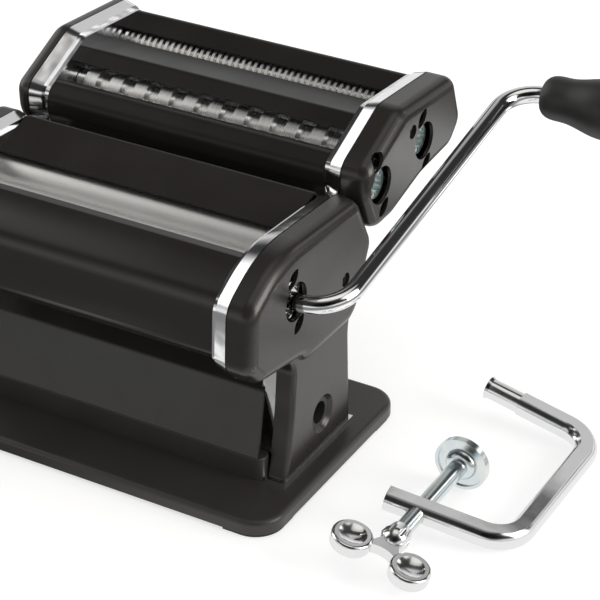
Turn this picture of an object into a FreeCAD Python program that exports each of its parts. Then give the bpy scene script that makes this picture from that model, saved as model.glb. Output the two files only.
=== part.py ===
import FreeCAD, Part
import math
import os

os.makedirs("parts", exist_ok=True)

# Hand cranked pasta machine with a clip-on cutter head, its crank and its table clamp.
# Millimetres. X runs to the crank side, Y to the back, Z up. The origin lies on the table,
# midway between the two sides and about under the middle of the base.

# Dough rollers: their length sets the width of everything else
roller_r = 15.0
roller_half = 75.2
front_y = -24.8
front_z = 99.2
front_journal_r = 6.0
rear_journal_r = 5.0
bush_wall = 2.0
bush_flange = 1.5
run_gap = 0.05
side_gap = 0.3
slide_gap = 0.08
scraper_front_deg = 238.0
scraper_rear_deg = 14.0

# Side frames and covers, outwards from the rollers' ends
web_inner_x = roller_half + side_gap
sheet_t = 2.0
flange_in_x = web_inner_x + 2.0
flange_out_x = web_inner_x + 8.0
column_out_x = web_inner_x + 17.0
cover_out_x = web_inner_x + 20.5
flange_t = 1.5
flange_flare = 1.6
step_inset = 3.0
cover_wall = 2.0
seam_width = 0.6
seam_depth = 0.7
cover_edge_r = 6.0
column_edge_r = 2.5
foot_flange_t = 1.2
foot_flange_proud = 0.8
foot_flange_front = 2.0
crease_z = 62.5
bracket_x = cover_out_x - 8.0
bracket_t = 2.0
bracket_post_r = 2.6
bracket_corner_r = 5.0
bracket_posts = [(-7.5, 79.5), (-7.5, 115.5), (31.5, 85.5)]
bracket_margins = [(-3.5, -5.5), (-3.5, 6.0), (6.5, -3.0)]
cover_screw_right = (18.1, 88.0)
cover_screw_left = (-7.0, 97.0)
recess_depth = 4.0

# Base
base_half_x = cover_out_x + 7.0
base_front_y = -61.5
base_rear_y = 60.5
base_corner_r = 14.0
base_bottom_z = 1.5
base_top_z = 8.0
base_edge_r = 2.4
base_wall = 2.2
foot_reach = 23.0
foot_inset = 0.8
foot_width = 9.0
base_screw_out = 10.0
base_screw_ys = (-12.0, 20.0)
sill_gap = 0.3
rim_cut = 3.2
sill_half_x = flange_out_x - sill_gap
sill_front_y = -32.8
sill_rear_y = -24.0
sill_top_z = base_top_z + 11.2
sill_end_r = 4.0
sill_edge_r = 0.4

# Thickness adjuster
pivot_y = 7.88
pivot_z = 96.64
throw = 3.0
throw_start_deg = 45.0
throw_turn_deg = 90.0
ring_r = 10.8
ring_hub_wall = 1.0
sleeve_wall = 1.2
sector_module = 0.9
sector_teeth = 36
pinion_teeth = 10
sector_t = 2.5
sector_margin_deg = 14.0
regulator_r = 4.0
regulator_end_r = 3.2
regulator_dir_deg = -63.26
knob_r = 14.8
knob_depth = 15.0
knob_edge_r = 2.5
knob_flutes = 20
knob_flute_r = 1.6
knob_skirt = 3.0
dial_t = 0.8
dial_r = 21.0
dial_gap = 0.4
shaft_grip = 4.0

# Roller gears: long teeth, so that they stay in mesh as the gap changes
gear_teeth = 12
gear_x = web_inner_x + 6.5
gear_t = 4.0
gear_tip_r = 18.0
gear_root_r = 12.1
gear_base_r = 14.4
gear_mesh_r = 15.28
gear_backlash = 0.8
gear_hub_r = 8.2
small_backlash = 0.25

# Crank
crank_r = 4.0
crank_arm_x = cover_out_x + 19.0
crank_bend_r = 17.0
crank_end_y = 142.6
crank_end_z = 132.1
crank_insert = 16.0
crank_pin_r = 1.1
crank_pin_half = 5.0
pin_gap = 0.2
socket_r = 6.5
collar_r = 8.4
collar_t = 3.0
collar_back = 3.0
collar_cup_r = 6.6
collar_cup_depth = 1.8
scallops = 8
scallop_r = 1.9
grip_start_x = crank_arm_x + 16.0
grip_length = 78.0
grip_small_r = 8.6
grip_large_r = 13.7
grip_end_r = 12.4
grip_tail = 6.0

# Cutter head
cutter_web_x = web_inner_x - 2.5
cutter_flange_x = cutter_web_x + 3.0
cutter_cover_x = cutter_web_x + 9.0
cutter_left_x = cover_out_x - 5.5
cutter_half = cutter_web_x - side_gap
cutter_r = 9.3
cutter_core_r = 7.0
cutter_spread = 17.8
cutter_tilt_deg = 6.0
wide_y = 49.9
wide_z = 119.5
fine_y = 90.2
fine_z = 123.5
wide_pitch = 13.4
fine_pitch = 3.26
wide_gap = 0.2
fine_gap = 0.09
cutter_shaft_r = 4.5
cutter_gear_x = cutter_web_x + 10.0
cutter_gear_t = 5.0
cutter_gear_teeth = 12
cutter_tooth_out = 1.0
cutter_tooth_in = 1.3
cutter_backlash = 0.3
cutter_bush_wall = 1.5
spacer_r = 6.0
drive_disc_r = 7.0
drive_hole_r = 4.1
drive_overlap = 2.0
drive_recess = 3.0
star_half = 4.55
star_depth = 2.6
recess_r = 8.8
leaf_half_w = 2.9
leaf_near = (6.3, 8.6)
leaf_far = (-1.6, 15.2)
cutter_screw_y = 78.8
cutter_screw_z = 132.7
cutter_post_r = 3.2
cutter_post_proud = 2.0
cutter_cover_wall = 1.6
cutter_rods = [(73.5, 133.5), (79.0, 112.0), (116.0, 135.0)]
cutter_rod_r = 2.1
cutter_thread_r = 1.8
comb_near = 1.5
comb_width = 5.0
comb_t = 2.9
tine_t = 1.4

# Guide blades on the frames and the cutter head's hooks on them
guide_y = 37.2
guide_t = 1.8
guide_seat_z = 93.0
guide_foot_z = 97.0
guide_top_z = 112.0
guide_reach = 10.5
guide_wall = 2.0
hook_wall = 1.4
hook_gap = 0.15
hook_rise = 0.2
hook_high_z = 110.6
hook_arm_y = 54.2
hook_arm_low_z = 101.0
hook_arm_high_z = 106.6

# Clamp, lying beside the machine
clamp_bar_r = 5.5
clamp_bend_r = 15.0
clamp_screw_x = cover_out_x + 59.0
clamp_spine_x = clamp_screw_x + 40.0
clamp_arm_end_x = clamp_screw_x - 13.0
clamp_lower_y = -16.4
clamp_upper_y = 71.8
clamp_pad_r = 12.5
clamp_pad_y = 18.0
clamp_pad_t = 2.4
clamp_dome_r = 7.4
clamp_dome_end_r = 4.6
clamp_dome_t = 3.0
clamp_screw_r = 4.0
clamp_neck_r = 2.4
clamp_flat = 0.86
clamp_low_slope = -0.15
clamp_high_slope = 0.055
clamp_hub_y = -51.5
hub_mid_r = 6.4
hub_tip_r = 5.2
hub_long = 6.0
hub_short = 5.5
hub_flutes = 8
hub_flute_r = 2.2
hub_flute_out = 1.5
wing_lobe_r = 9.0
wing_lobe_t = 6.4
wing_edge_r = 1.4
wing_dish_r = 14.0
wing_dish_depth = 1.4
wing_drop = 7.0
wing_half_span = 14.0
wing_web_half_t = 2.4
wing_waist = 2.2
wing_turn_deg = 14.7
clamp_tip_r = 4.8
clamp_tip_length = 15.4
clamp_tip_lip = 0.6
clamp_lip_length = 1.6
pad_rim = 1.4
pad_rim_proud = 0.8
clamp_socket_r = 5.3
clamp_socket_y = 4.5
clamp_socket_z = 25.6
clamp_socket_wall = 2.0
clamp_socket_bevel = 1.8

# Small fasteners
screw_r = 1.5
screw_head_r = 3.0
screw_head_t = 1.8
screw_slot_half = 0.35
screw_sink = 1.2
rod_r = 3.0
rod_thread_r = 2.4
tie_rods = [(-43.0, 82.0), (27.0, 108.6), (18.0, 60.0), (10.0, 40.0)]
nut_r = 4.6
nut_t = 2.6

# Bent sheet panels and strips, seen from the side: y, z and bend radius along the outer face
panel_t = 1.2
panel_step = 0.6
panel_fold_y = -20.3
panel_fold_z = 46.0
panel_low_run = 2.0
panel_end_x = flange_in_x - sill_gap
panel_foot_x = sill_half_x - 2.4
panel_foot_y = sill_front_y + panel_step
panel_slope = (panel_fold_y - panel_foot_y) / (panel_fold_z - sill_top_z)
front_panel_path = [
    (-52.6, 79.6, 0.0),
    (-57.2, 84.6, 5.0),
    (-57.0, 97.0, 60.0),
    (-54.2, 109.6, 14.0),
    (-44.0, 117.6, 30.0),
    (-35.0, 119.8, 3.0),
    (-28.8, 119.4, 2.2),
    (-29.4, 115.6, 0.0),
]
rear_panel_path = [
    (panel_foot_y - panel_slope * panel_low_run, sill_top_z - panel_low_run, 0.0),
    (panel_fold_y, panel_fold_z, 6.0),
    (5.2, 76.0, 0.0),
]
chute_path = [
    (0.5, 115.4, 0.0),
    (28.0, 121.7, 2.6),
    (35.2, 107.5, 3.0),
    (35.2, 99.0, 0.0),
]
cutter_front_path = [
    (51.6, 129.9, 0.0),
    (46.4, 131.2, 6.0),
    (39.1, 126.5, 6.0),
    (39.1, 118.0, 6.0),
    (41.2, 111.4, 0.0),
]
cutter_middle_path = [
    (65.2, 133.4, 0.0),
    (72.2, 138.0, 4.0),
    (94.8, 134.1, 0.0),
]
cutter_rear_path = [
    (104.2, 135.8, 0.0),
    (119.0, 140.2, 4.0),
    (127.0, 122.0, 5.0),
    (124.6, 113.0, 0.0),
]

# Outline of the head and column, seen from the side: y, z and corner radius, at the covers
body_outline = [
    (31.5, 121.2, 7.5),
    (-34.4, 125.4, 55.0),
    (-60.4, 110.6, 12.0),
    (-62.0, 82.4, 9.0),
    (-52.4, 72.6, 8.0),
    (-19.6, 66.4, 9.0),
    (-21.6, 42.0, 80.0),
    (-25.0, 21.0, 60.0),
    (-28.8, base_top_z, 0.0),
    (30.6, base_top_z, 0.0),
    (28.4, 60.0, 30.0),
    (44.6, 95.8, 9.0),
]
body_top_z = body_outline[1][1]
head_outline = [
    body_outline[0],
    body_outline[1],
    body_outline[2],
    body_outline[3],
    body_outline[4],
    (-19.5, 66.9, 12.0),
    (-14.0, crease_z, 9.0),
    (24.0, crease_z, 9.0),
    (31.5, 66.9, 14.0),
    body_outline[11],
]
# Outline of the cutter head
cutter_outline = [
    (121.8, 142.4, 7.5),
    (71.5, 146.2, 14.0),
    (37.0, 130.4, 8.0),
    (37.4, 117.0, 14.0),
    (46.4, 97.6, 8.0),
    (62.0, 98.0, 20.0),
    (90.0, 105.4, 40.0),
    (119.5, 107.6, 12.0),
    (130.2, 118.5, 9.0),
]

rear_y = pivot_y + throw * math.cos(math.radians(throw_start_deg))
rear_z = pivot_z + throw * math.sin(math.radians(throw_start_deg))
sector_x = web_inner_x + sheet_t + side_gap
sector_pitch_r = sector_module * sector_teeth / 2
pinion_pitch_r = sector_module * pinion_teeth / 2
regulator_distance = sector_pitch_r + pinion_pitch_r
regulator_y = pivot_y + regulator_distance * math.cos(math.radians(regulator_dir_deg))
regulator_z = pivot_z + regulator_distance * math.sin(math.radians(regulator_dir_deg))
sleeve_out_r = rear_journal_r + run_gap + sleeve_wall
dial_x = cover_out_x + dial_t
crank_bore_r = crank_r + slide_gap
collar_x = cover_out_x - collar_back
pin_x = collar_x - collar_cup_depth - crank_pin_r - 2 * pin_gap
mate_dy = cutter_spread * math.cos(math.radians(cutter_tilt_deg))
mate_dz = cutter_spread * math.sin(math.radians(cutter_tilt_deg))


def box(x0, x1, y0, y1, z0, z1):
    corner = FreeCAD.Vector(min(x0, x1), min(y0, y1), min(z0, z1))
    return Part.makeBox(abs(x1 - x0), abs(y1 - y0), abs(z1 - z0), corner)


def rod_x(x0, x1, y, z, r):
    return Part.makeCylinder(r, abs(x1 - x0), FreeCAD.Vector(min(x0, x1), y, z), FreeCAD.Vector(1, 0, 0))


def rod_y(y0, y1, x, z, r):
    return Part.makeCylinder(r, abs(y1 - y0), FreeCAD.Vector(x, min(y0, y1), z), FreeCAD.Vector(0, 1, 0))


def rod_z(z0, z1, x, y, r):
    return Part.makeCylinder(r, abs(z1 - z0), FreeCAD.Vector(x, y, min(z0, z1)), FreeCAD.Vector(0, 0, 1))


def tube_x(x0, x1, y, z, r_out, r_in):
    return rod_x(x0, x1, y, z, r_out).cut(rod_x(x0 - 1, x1 + 1, y, z, r_in))


def join(shapes):
    whole = shapes[0]
    for shape in shapes[1:]:
        whole = whole.fuse(shape)
    return whole.removeSplitter()


def mirrored(shape):
    return shape.mirror(FreeCAD.Vector(0, 0, 0), FreeCAD.Vector(1, 0, 0))


def save(node, *shapes):
    solids = []
    for shape in shapes:
        solids.extend(shape.Solids)
    Part.makeCompound(solids).exportStep("parts/" + node + ".step")


def turned_corners(points, inset):
    """Move every side of a closed outline inwards, and change its corner radii to match."""
    area = 0.0
    count = len(points)
    for i in range(count):
        y0, z0 = points[i][:2]
        y1, z1 = points[(i + 1) % count][:2]
        area += y0 * z1 - y1 * z0
    turn = 1.0 if area > 0 else -1.0
    moved = []
    for i in range(count):
        before = points[i - 1]
        here = points[i]
        after = points[(i + 1) % count]
        d0 = unit(here[0] - before[0], here[1] - before[1])
        d1 = unit(after[0] - here[0], after[1] - here[1])
        n0 = (-d0[1] * turn, d0[0] * turn)
        n1 = (-d1[1] * turn, d1[0] * turn)
        bend = (d0[0] * d1[1] - d0[1] * d1[0]) * turn
        spread = 1.0 + n0[0] * n1[0] + n0[1] * n1[1]
        y = here[0] + inset * (n0[0] + n1[0]) / spread
        z = here[1] + inset * (n0[1] + n1[1]) / spread
        radius = here[2]
        if radius > 0:
            radius = max(radius - inset, 0.3) if bend > 0 else max(radius + inset, 0.3)
        moved.append((y, z, radius))
    return moved


def unit(dy, dz):
    length = math.hypot(dy, dz)
    return dy / length, dz / length


def corner_arc(before, here, after):
    """Start, middle and end of the arc that rounds one corner, or None for a sharp one."""
    d0 = unit(before[0] - here[0], before[1] - here[1])
    d1 = unit(after[0] - here[0], after[1] - here[1])
    half = math.acos(max(-1.0, min(1.0, d0[0] * d1[0] + d0[1] * d1[1]))) / 2
    if here[2] <= 0 or half > math.radians(89.5):
        return None
    reach = here[2] / math.tan(half)
    start = (here[0] + d0[0] * reach, here[1] + d0[1] * reach)
    end = (here[0] + d1[0] * reach, here[1] + d1[1] * reach)
    axis = unit(d0[0] + d1[0], d0[1] + d1[1])
    depth = here[2] / math.sin(half) - here[2]
    middle = (here[0] + axis[0] * depth, here[1] + axis[1] * depth)
    return start, middle, end


def outline(points, x, inset=0.0):
    """Closed wire in the plane X = x through rounded corners."""
    corners = turned_corners(points, inset)
    count = len(corners)
    edges = []
    stops = []
    for i in range(count):
        arc = corner_arc(corners[i - 1], corners[i], corners[(i + 1) % count])
        if arc is None:
            stops.append((corners[i][:2], corners[i][:2]))
            continue
        start, middle, end = [FreeCAD.Vector(x, p[0], p[1]) for p in arc]
        edges.append((i, Part.Arc(start, middle, end).toShape()))
        stops.append((arc[0], arc[2]))
    lines = []
    for i in range(count):
        a = stops[i][1]
        b = stops[(i + 1) % count][0]
        start = FreeCAD.Vector(x, a[0], a[1])
        end = FreeCAD.Vector(x, b[0], b[1])
        if start.distanceToPoint(end) > 1e-6:
            lines.append((i + 0.5, Part.LineSegment(start, end).toShape()))
    ordered = sorted(edges + lines, key=lambda pair: pair[0])
    return Part.Wire([edge for _, edge in ordered])


def prism(points, x0, x1, inset=0.0):
    """Solid of one side outline between two X planes."""
    face = Part.Face(outline(points, x0, inset))
    return face.extrude(FreeCAD.Vector(x1 - x0, 0, 0))


def tapered(points, x0, x1, inset0, inset1):
    return Part.makeLoft([outline(points, x0, inset0), outline(points, x1, inset1)], True, True)


def ribbon(path, thickness, side=1.0):
    """Closed outline of a bent sheet: its outer path and the same path moved by its thickness."""
    back = []
    count = len(path)
    for i in range(count):
        here = path[i]
        d0 = unit(here[0] - path[i - 1][0], here[1] - path[i - 1][1]) if i > 0 else None
        d1 = unit(path[i + 1][0] - here[0], path[i + 1][1] - here[1]) if i < count - 1 else None
        d0 = d0 or d1
        d1 = d1 or d0
        n0 = (-d0[1] * side, d0[0] * side)
        n1 = (-d1[1] * side, d1[0] * side)
        spread = 1.0 + n0[0] * n1[0] + n0[1] * n1[1]
        bend = (d0[0] * d1[1] - d0[1] * d1[0]) * side
        radius = 0.0
        if 0 < i < count - 1 and here[2] > 0:
            radius = here[2] - thickness if bend > 0 else here[2] + thickness
            radius = max(radius, 0.2)
        y = here[0] + thickness * (n0[0] + n1[0]) / spread
        z = here[1] + thickness * (n0[1] + n1[1]) / spread
        back.append((y, z, radius))
    return list(path) + back[::-1]


def rounded_face(solid, x, radius):
    """Round the edges of a prism's end face at the given X."""
    edges = []
    for edge in solid.Edges:
        bounds = edge.BoundBox
        if abs(bounds.XMin - x) < 1e-4 and abs(bounds.XMax - x) < 1e-4:
            edges.append(edge)
    return solid.makeFillet(radius, edges)


def slot_x(x0, x1, y0, z0, y1, z1, half_w):
    """Round ended slot between two points, through an X range."""
    angle = math.degrees(math.atan2(z1 - z0, y1 - y0))
    length = math.hypot(y1 - y0, z1 - z0)
    bar = Part.makeBox(x1 - x0, length, 2 * half_w, FreeCAD.Vector(x0, 0, -half_w))
    bar.rotate(FreeCAD.Vector(0, 0, 0), FreeCAD.Vector(1, 0, 0), angle)
    bar.translate(FreeCAD.Vector(0, y0, z0))
    return bar.fuse(rod_x(x0, x1, y0, z0, half_w)).fuse(rod_x(x0, x1, y1, z1, half_w))


def leaf_x(x0, x1, y0, z0, y1, z1, half_w):
    """Leaf shaped slot, pointed at both ends, through an X range."""
    reach_y = (y1 - y0) / 2
    reach_z = (z1 - z0) / 2
    side_y, side_z = unit(-reach_z, reach_y)
    centre = FreeCAD.Vector(x0, y0 + reach_y, z0 + reach_z)
    bulge = FreeCAD.Vector(0, side_y * half_w, side_z * half_w)
    start = FreeCAD.Vector(x0, y0, z0)
    end = FreeCAD.Vector(x0, y1, z1)
    edges = [Part.Arc(start, centre + bulge, end).toShape(), Part.Arc(end, centre - bulge, start).toShape()]
    return Part.Face(Part.Wire(edges)).extrude(FreeCAD.Vector(x1 - x0, 0, 0))


def cross_screw(x0, x1, y, z, towards=1.0):
    """Countersunk screw along X with a cross recess; its head ends at x1."""
    head = rod_x(x1, x1 - towards * screw_head_t, y, z, screw_head_r)
    shank = rod_x(x0, x1, y, z, screw_r)
    screw = head.fuse(shank)
    arm = screw_head_r * 0.6
    slot_t = screw_slot_half
    depth = screw_head_t * 0.6
    screw = screw.cut(box(x1 - towards * depth, x1 + towards, y - arm, y + arm, z - slot_t, z + slot_t))
    return screw.cut(box(x1 - towards * depth, x1 + towards, y - slot_t, y + slot_t, z - arm, z + arm))


def involute_half_angle(r, base_r, mesh_r, half_at_mesh):
    """Half angle that a tooth spans at radius r."""
    def inv(radius):
        angle = math.acos(min(1.0, base_r / radius))
        return math.tan(angle) - angle
    return half_at_mesh + inv(mesh_r) - inv(max(r, base_r))


def gear_face(y, z, teeth, base_r, mesh_r, tip_r, root_r, backlash, phase_deg, steps=5):
    """Outline of a spur gear; one tooth points along phase_deg."""
    half = math.pi / teeth / 2 - backlash / mesh_r / 4
    points = []
    for tooth in range(teeth):
        centre = math.radians(phase_deg) + tooth * 2 * math.pi / teeth
        flank = []
        for step in range(steps + 1):
            r = base_r + (tip_r - base_r) * step / steps
            flank.append((r, involute_half_angle(r, base_r, mesh_r, half)))
        flank.insert(0, (root_r, flank[0][1]))
        for r, a in flank:
            points.append((y + r * math.cos(centre - a), z + r * math.sin(centre - a), 0.0))
        for r, a in reversed(flank):
            points.append((y + r * math.cos(centre + a), z + r * math.sin(centre + a), 0.0))
    return points


def gear(x0, x1, y, z, teeth, base_r, mesh_r, tip_r, root_r, backlash, phase_deg, bore_r):
    body = prism(gear_face(y, z, teeth, base_r, mesh_r, tip_r, root_r, backlash, phase_deg), x0, x1)
    return body.cut(rod_x(x0 - 1, x1 + 1, y, z, bore_r))


def make_base():
    """Moulded base plate with its skirt, corner feet and the screws that hold the side frames."""
    def slab(inset, z0, z1):
        corners = [
            (base_half_x, base_front_y, base_corner_r),
            (base_half_x, base_rear_y, base_corner_r),
            (-base_half_x, base_rear_y, base_corner_r),
            (-base_half_x, base_front_y, base_corner_r),
        ]
        block = Part.Face(outline(corners, 0.0, inset)).extrude(FreeCAD.Vector(z1 - z0, 0, 0))
        # The outline is drawn in the YZ plane: turn it so that its first axis is X
        block.rotate(FreeCAD.Vector(0, 0, 0), FreeCAD.Vector(1, 1, 1), -120)
        block.translate(FreeCAD.Vector(0, 0, z0))
        return block

    outer = slab(0.0, base_bottom_z, base_top_z)
    top_edges = [e for e in outer.Edges if abs(e.BoundBox.ZMin - base_top_z) < 1e-4]
    outer = outer.makeFillet(base_edge_r, top_edges)
    plate = outer.cut(slab(base_wall, base_bottom_z - 1, base_top_z - base_wall))
    plate = plate.fuse(base_sill(0.0)).cut(base_sill(base_wall)).removeSplitter()
    feet = []
    for sx in (-1, 1):
        for front in (True, False):
            y_edge = base_front_y if front else base_rear_y
            y_in = y_edge + foot_reach if front else y_edge - foot_reach
            corner = box(sx * (base_half_x - foot_reach), sx * (base_half_x + 1),
                         y_in, y_edge - 1 if front else y_edge + 1, 0, base_top_z - base_wall)
            pad = slab(foot_inset, 0, base_bottom_z).fuse(slab(base_wall, 0, base_top_z - base_wall))
            hollow = slab(base_wall + foot_width, -1, base_top_z)
            feet.append(pad.common(corner).cut(hollow).removeSplitter())
    screws = []
    screw_reach = base_top_z + foot_flange_t + screw_r
    for sx in (-1, 1):
        for y in base_screw_ys:
            x = sx * (web_inner_x + base_screw_out)
            low = base_top_z - base_wall
            screws.append(rod_z(low, screw_reach, x, y, screw_r))
            screws.append(rod_z(low - screw_head_t, low, x, y, screw_head_r))
            plate = plate.cut(rod_z(low - 1, base_top_z + 1, x, y, screw_r))
    save("base_plate", plate)
    save("base_feet", *feet)
    pairs = [screws[i].fuse(screws[i + 1]) for i in range(0, len(screws), 2)]
    save("base_screws", *pairs)


def base_sill(inset):
    """Upright sill across the base in front of the columns; with an inset, the hollow under it."""
    low = base_top_z - base_wall - (1.0 if inset else 0.0)
    sill = box(-sill_half_x + inset, sill_half_x - inset, sill_front_y + inset, sill_rear_y - inset,
               low, sill_top_z - inset)
    uprights = [e for e in sill.Edges if e.BoundBox.ZLength > 1.0]
    sill = sill.makeFillet(sill_end_r - inset, uprights)
    if inset:
        return sill
    top_edges = [e for e in sill.Edges if abs(e.BoundBox.ZMin - sill_top_z) < 1e-4]
    return sill.makeFillet(sill_edge_r, top_edges)


def frame_side(points, web_x, in_x, out_x):
    """Pressed side frame: a flat web, a step outwards near its edge and a flared bright flange."""
    web = prism(points, web_x, web_x + sheet_t, step_inset)
    step = prism(points, web_x, in_x + flange_t, step_inset)
    step = step.cut(prism(points, web_x - 1, out_x, step_inset + flange_t))
    shelf = prism(points, in_x, in_x + flange_t, flange_flare)
    shelf = shelf.cut(prism(points, in_x - 1, out_x, step_inset + flange_t))
    rim = tapered(points, in_x, out_x, flange_flare, 0.0)
    rim = rim.cut(tapered(points, in_x - 0.01, out_x + 0.01, flange_flare + flange_t, flange_t))
    return join([web, step, shelf, rim])


def make_side_frames():
    frame = frame_side(body_outline, web_inner_x, flange_in_x, flange_out_x)
    # Foot flange that the base screws reach; its edge shows as a thin bright line under the cover
    front_foot, rear_foot = [y for y, z, r in body_outline if z == base_top_z]
    foot = box(web_inner_x, column_out_x + foot_flange_proud, front_foot - foot_flange_front,
               rear_foot + foot_flange_proud, base_top_z, base_top_z + foot_flange_t)
    # The bright rim stops just above the sill, and the web and foot flange just behind it
    sill_back_y = sill_rear_y + sill_gap
    sill_over_z = sill_top_z + sill_gap
    frame = frame.cut(box(0, flange_out_x + 1, base_front_y, sill_back_y, 0, sill_over_z))
    frame = frame.cut(box(flange_in_x, flange_out_x + 1, base_front_y, sill_back_y + rim_cut, 0, sill_over_z))
    foot = foot.cut(box(0, sill_half_x + sill_gap, base_front_y, sill_back_y, 0, sill_over_z))
    frame = join([frame, foot])
    for y in base_screw_ys:
        frame = frame.cut(rod_z(base_top_z - 1, base_top_z + foot_flange_t + 1,
                                web_inner_x + base_screw_out, y, screw_r))
    frame = frame.cut(rod_x(web_inner_x - 1, flange_in_x, front_y, front_z,
                            front_journal_r + run_gap + bush_wall))
    frame = frame.cut(rod_x(web_inner_x - 1, flange_in_x, pivot_y, pivot_z, ring_r + run_gap))
    frame = frame.cut(rod_x(web_inner_x - 1, flange_in_x, regulator_y, regulator_z,
                            regulator_r + run_gap + sleeve_wall))
    for y, z in tie_rods:
        frame = frame.cut(rod_x(web_inner_x - 1, flange_in_x, y, z, rod_thread_r))
    frame = frame.cut(rod_x(web_inner_x - 1, flange_in_x + 1, clamp_socket_y, clamp_socket_z,
                            clamp_socket_r + clamp_socket_wall))
    save("side_frame_right", frame)
    save("side_frame_left", mirrored(frame))


def bayonet_cut(x, y, z):
    """The round recess around a drive socket and its two slots, half a turn apart."""
    cut = rod_x(x - recess_depth, x + 1, y, z, recess_r)
    for sign in (1, -1):
        slot = leaf_x(x - recess_depth, x + 1, y - sign * leaf_far[0], z + sign * leaf_far[1],
                      y - sign * leaf_near[0], z + sign * leaf_near[1], leaf_half_w)
        cut = cut.fuse(slot)
    return cut


def seam(points, x):
    """Shallow groove round a cover where it meets the bright flange."""
    around = prism(points, x - 0.5, x + seam_width, -1.0)
    return around.cut(prism(points, x - 1.0, x + seam_width + 1.0, seam_depth))


def screw_boss(cover, x_seat, x_face, y, z):
    """Boss inside a cover, and the sunk hole for its screw."""
    cover = cover.fuse(rod_x(x_seat, x_face - 1, y, z, screw_head_r + 1.6))
    cover = cover.cut(rod_x(x_face - screw_head_t - screw_sink, x_face + 1, y, z, screw_head_r + side_gap))
    return cover.cut(rod_x(x_seat - 1, x_face, y, z, screw_r))


def cover_screw_place(side):
    return cover_screw_right if side > 0 else cover_screw_left


def open_below(points):
    """The body outline with its column run on down, to hollow a cover right through its foot."""
    run = 10.0
    foot = [i for i, point in enumerate(points) if point[1] == base_top_z][0]
    front_top, front, rear, rear_top = points[foot - 1:foot + 3]
    grow_front = run / (front_top[1] - front[1])
    grow_rear = run / (rear_top[1] - rear[1])
    low_front = (front[0] - (front_top[0] - front[0]) * grow_front, front[1] - run, 0.0)
    low_rear = (rear[0] - (rear_top[0] - rear[0]) * grow_rear, rear[1] - run, 0.0)
    return points[:foot] + [low_front, low_rear] + points[foot + 2:]


def make_side_covers():
    """Black side covers: a thick rounded head and a slimmer column under it."""
    head = rounded_face(prism(head_outline, flange_out_x, cover_out_x), cover_out_x, cover_edge_r)
    column = rounded_face(prism(body_outline, flange_out_x, column_out_x), column_out_x, column_edge_r)
    shell = join([head, column])
    room = rounded_face(prism(head_outline, flange_out_x - 1, cover_out_x - cover_wall, cover_wall),
                        cover_out_x - cover_wall, cover_edge_r - cover_wall)
    shell = shell.cut(room)
    shell = shell.cut(prism(open_below(body_outline), flange_out_x - 1, column_out_x - cover_wall, cover_wall))
    shell = shell.cut(seam(body_outline, flange_out_x))
    # Clear of the frame's foot flange
    shell = shell.cut(box(0, 200, -200, 200, 0, base_top_z + foot_flange_t))
    socket_out_r = clamp_socket_r + clamp_socket_wall
    shell = shell.cut(rod_x(column_out_x - 2 * cover_wall, column_out_x + 1, clamp_socket_y, clamp_socket_z,
                            socket_out_r))
    bevel = Part.makeCone(socket_out_r, socket_out_r + clamp_socket_bevel, clamp_socket_bevel,
                          FreeCAD.Vector(column_out_x - clamp_socket_bevel, clamp_socket_y, clamp_socket_z),
                          FreeCAD.Vector(1, 0, 0))
    shell = shell.cut(bevel)
    for side in (1, -1):
        y, z = cover_screw_place(side)
        cover = screw_boss(shell, bracket_x + bracket_t, cover_out_x, y, z)
        if side > 0:
            cover = cover.cut(bayonet_cut(cover_out_x, front_y, front_z))
            save("side_cover_right", cover)
        else:
            cover = cover.cut(rod_x(cover_out_x - 2 * cover_wall, cover_out_x + 1, regulator_y, regulator_z,
                                    regulator_end_r + side_gap))
            save("side_cover_left", mirrored(cover))


def make_cover_brackets():
    """Plates on three posts each, which the covers' screws go into."""
    plate_points = [(y + dy, z + dz, bracket_corner_r) for (y, z), (dy, dz) in
                    zip(bracket_posts, bracket_margins)]
    plate = prism(plate_points, bracket_x, bracket_x + bracket_t)
    bars = [plate]
    for y, z in bracket_posts:
        bars.append(rod_x(web_inner_x + sheet_t, bracket_x, y, z, bracket_post_r))
    both = join(bars)
    for side in (1, -1):
        y, z = cover_screw_place(side)
        bracket = both.cut(rod_x(bracket_x - 1, bracket_x + 5, y, z, screw_r))
        if side < 0:
            bracket = bracket.cut(rod_x(bracket_x - 1, bracket_x + 5, regulator_y, regulator_z,
                                        regulator_end_r + side_gap))
            save("cover_bracket_left", mirrored(bracket))
        else:
            save("cover_bracket_right", bracket)
    screws = []
    for side in (1, -1):
        y, z = cover_screw_place(side)
        screw = cross_screw(bracket_x - 1.5, cover_out_x - screw_sink, y, z)
        screws.append(screw if side > 0 else mirrored(screw))
    save("cover_screws", *screws)


def make_panels():
    """Bent sheet panels between the side frames."""
    save("front_panel", prism(ribbon(front_panel_path, panel_t, -1.0), -web_inner_x, web_inner_x))
    # The back wall is wider below its fold, where it passes in front of the frames, and stands on the sill
    wall = prism(ribbon(rear_panel_path, panel_t, -1.0), -flange_out_x, flange_out_x)
    wall = wall.cut(box(-flange_out_x - 1, flange_out_x + 1, base_front_y, base_rear_y, 0, sill_top_z))
    beside = [
        (web_inner_x, body_top_z),
        (web_inner_x, panel_fold_z + panel_step),
        (panel_end_x, panel_fold_z),
        (panel_foot_x, sill_top_z),
        (panel_foot_x, 0.0),
        (flange_out_x + 1, 0.0),
        (flange_out_x + 1, body_top_z),
    ]
    corners = [FreeCAD.Vector(x, base_front_y, z) for x, z in beside]
    wedge = Part.Face(Part.makePolygon(corners + corners[:1])).extrude(FreeCAD.Vector(0, 2 * base_rear_y, 0))
    save("rear_panel", wall.cut(wedge).cut(mirrored(wedge)))
    save("dough_chute", prism(ribbon(chute_path, panel_t, -1.0), -web_inner_x, web_inner_x))


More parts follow.
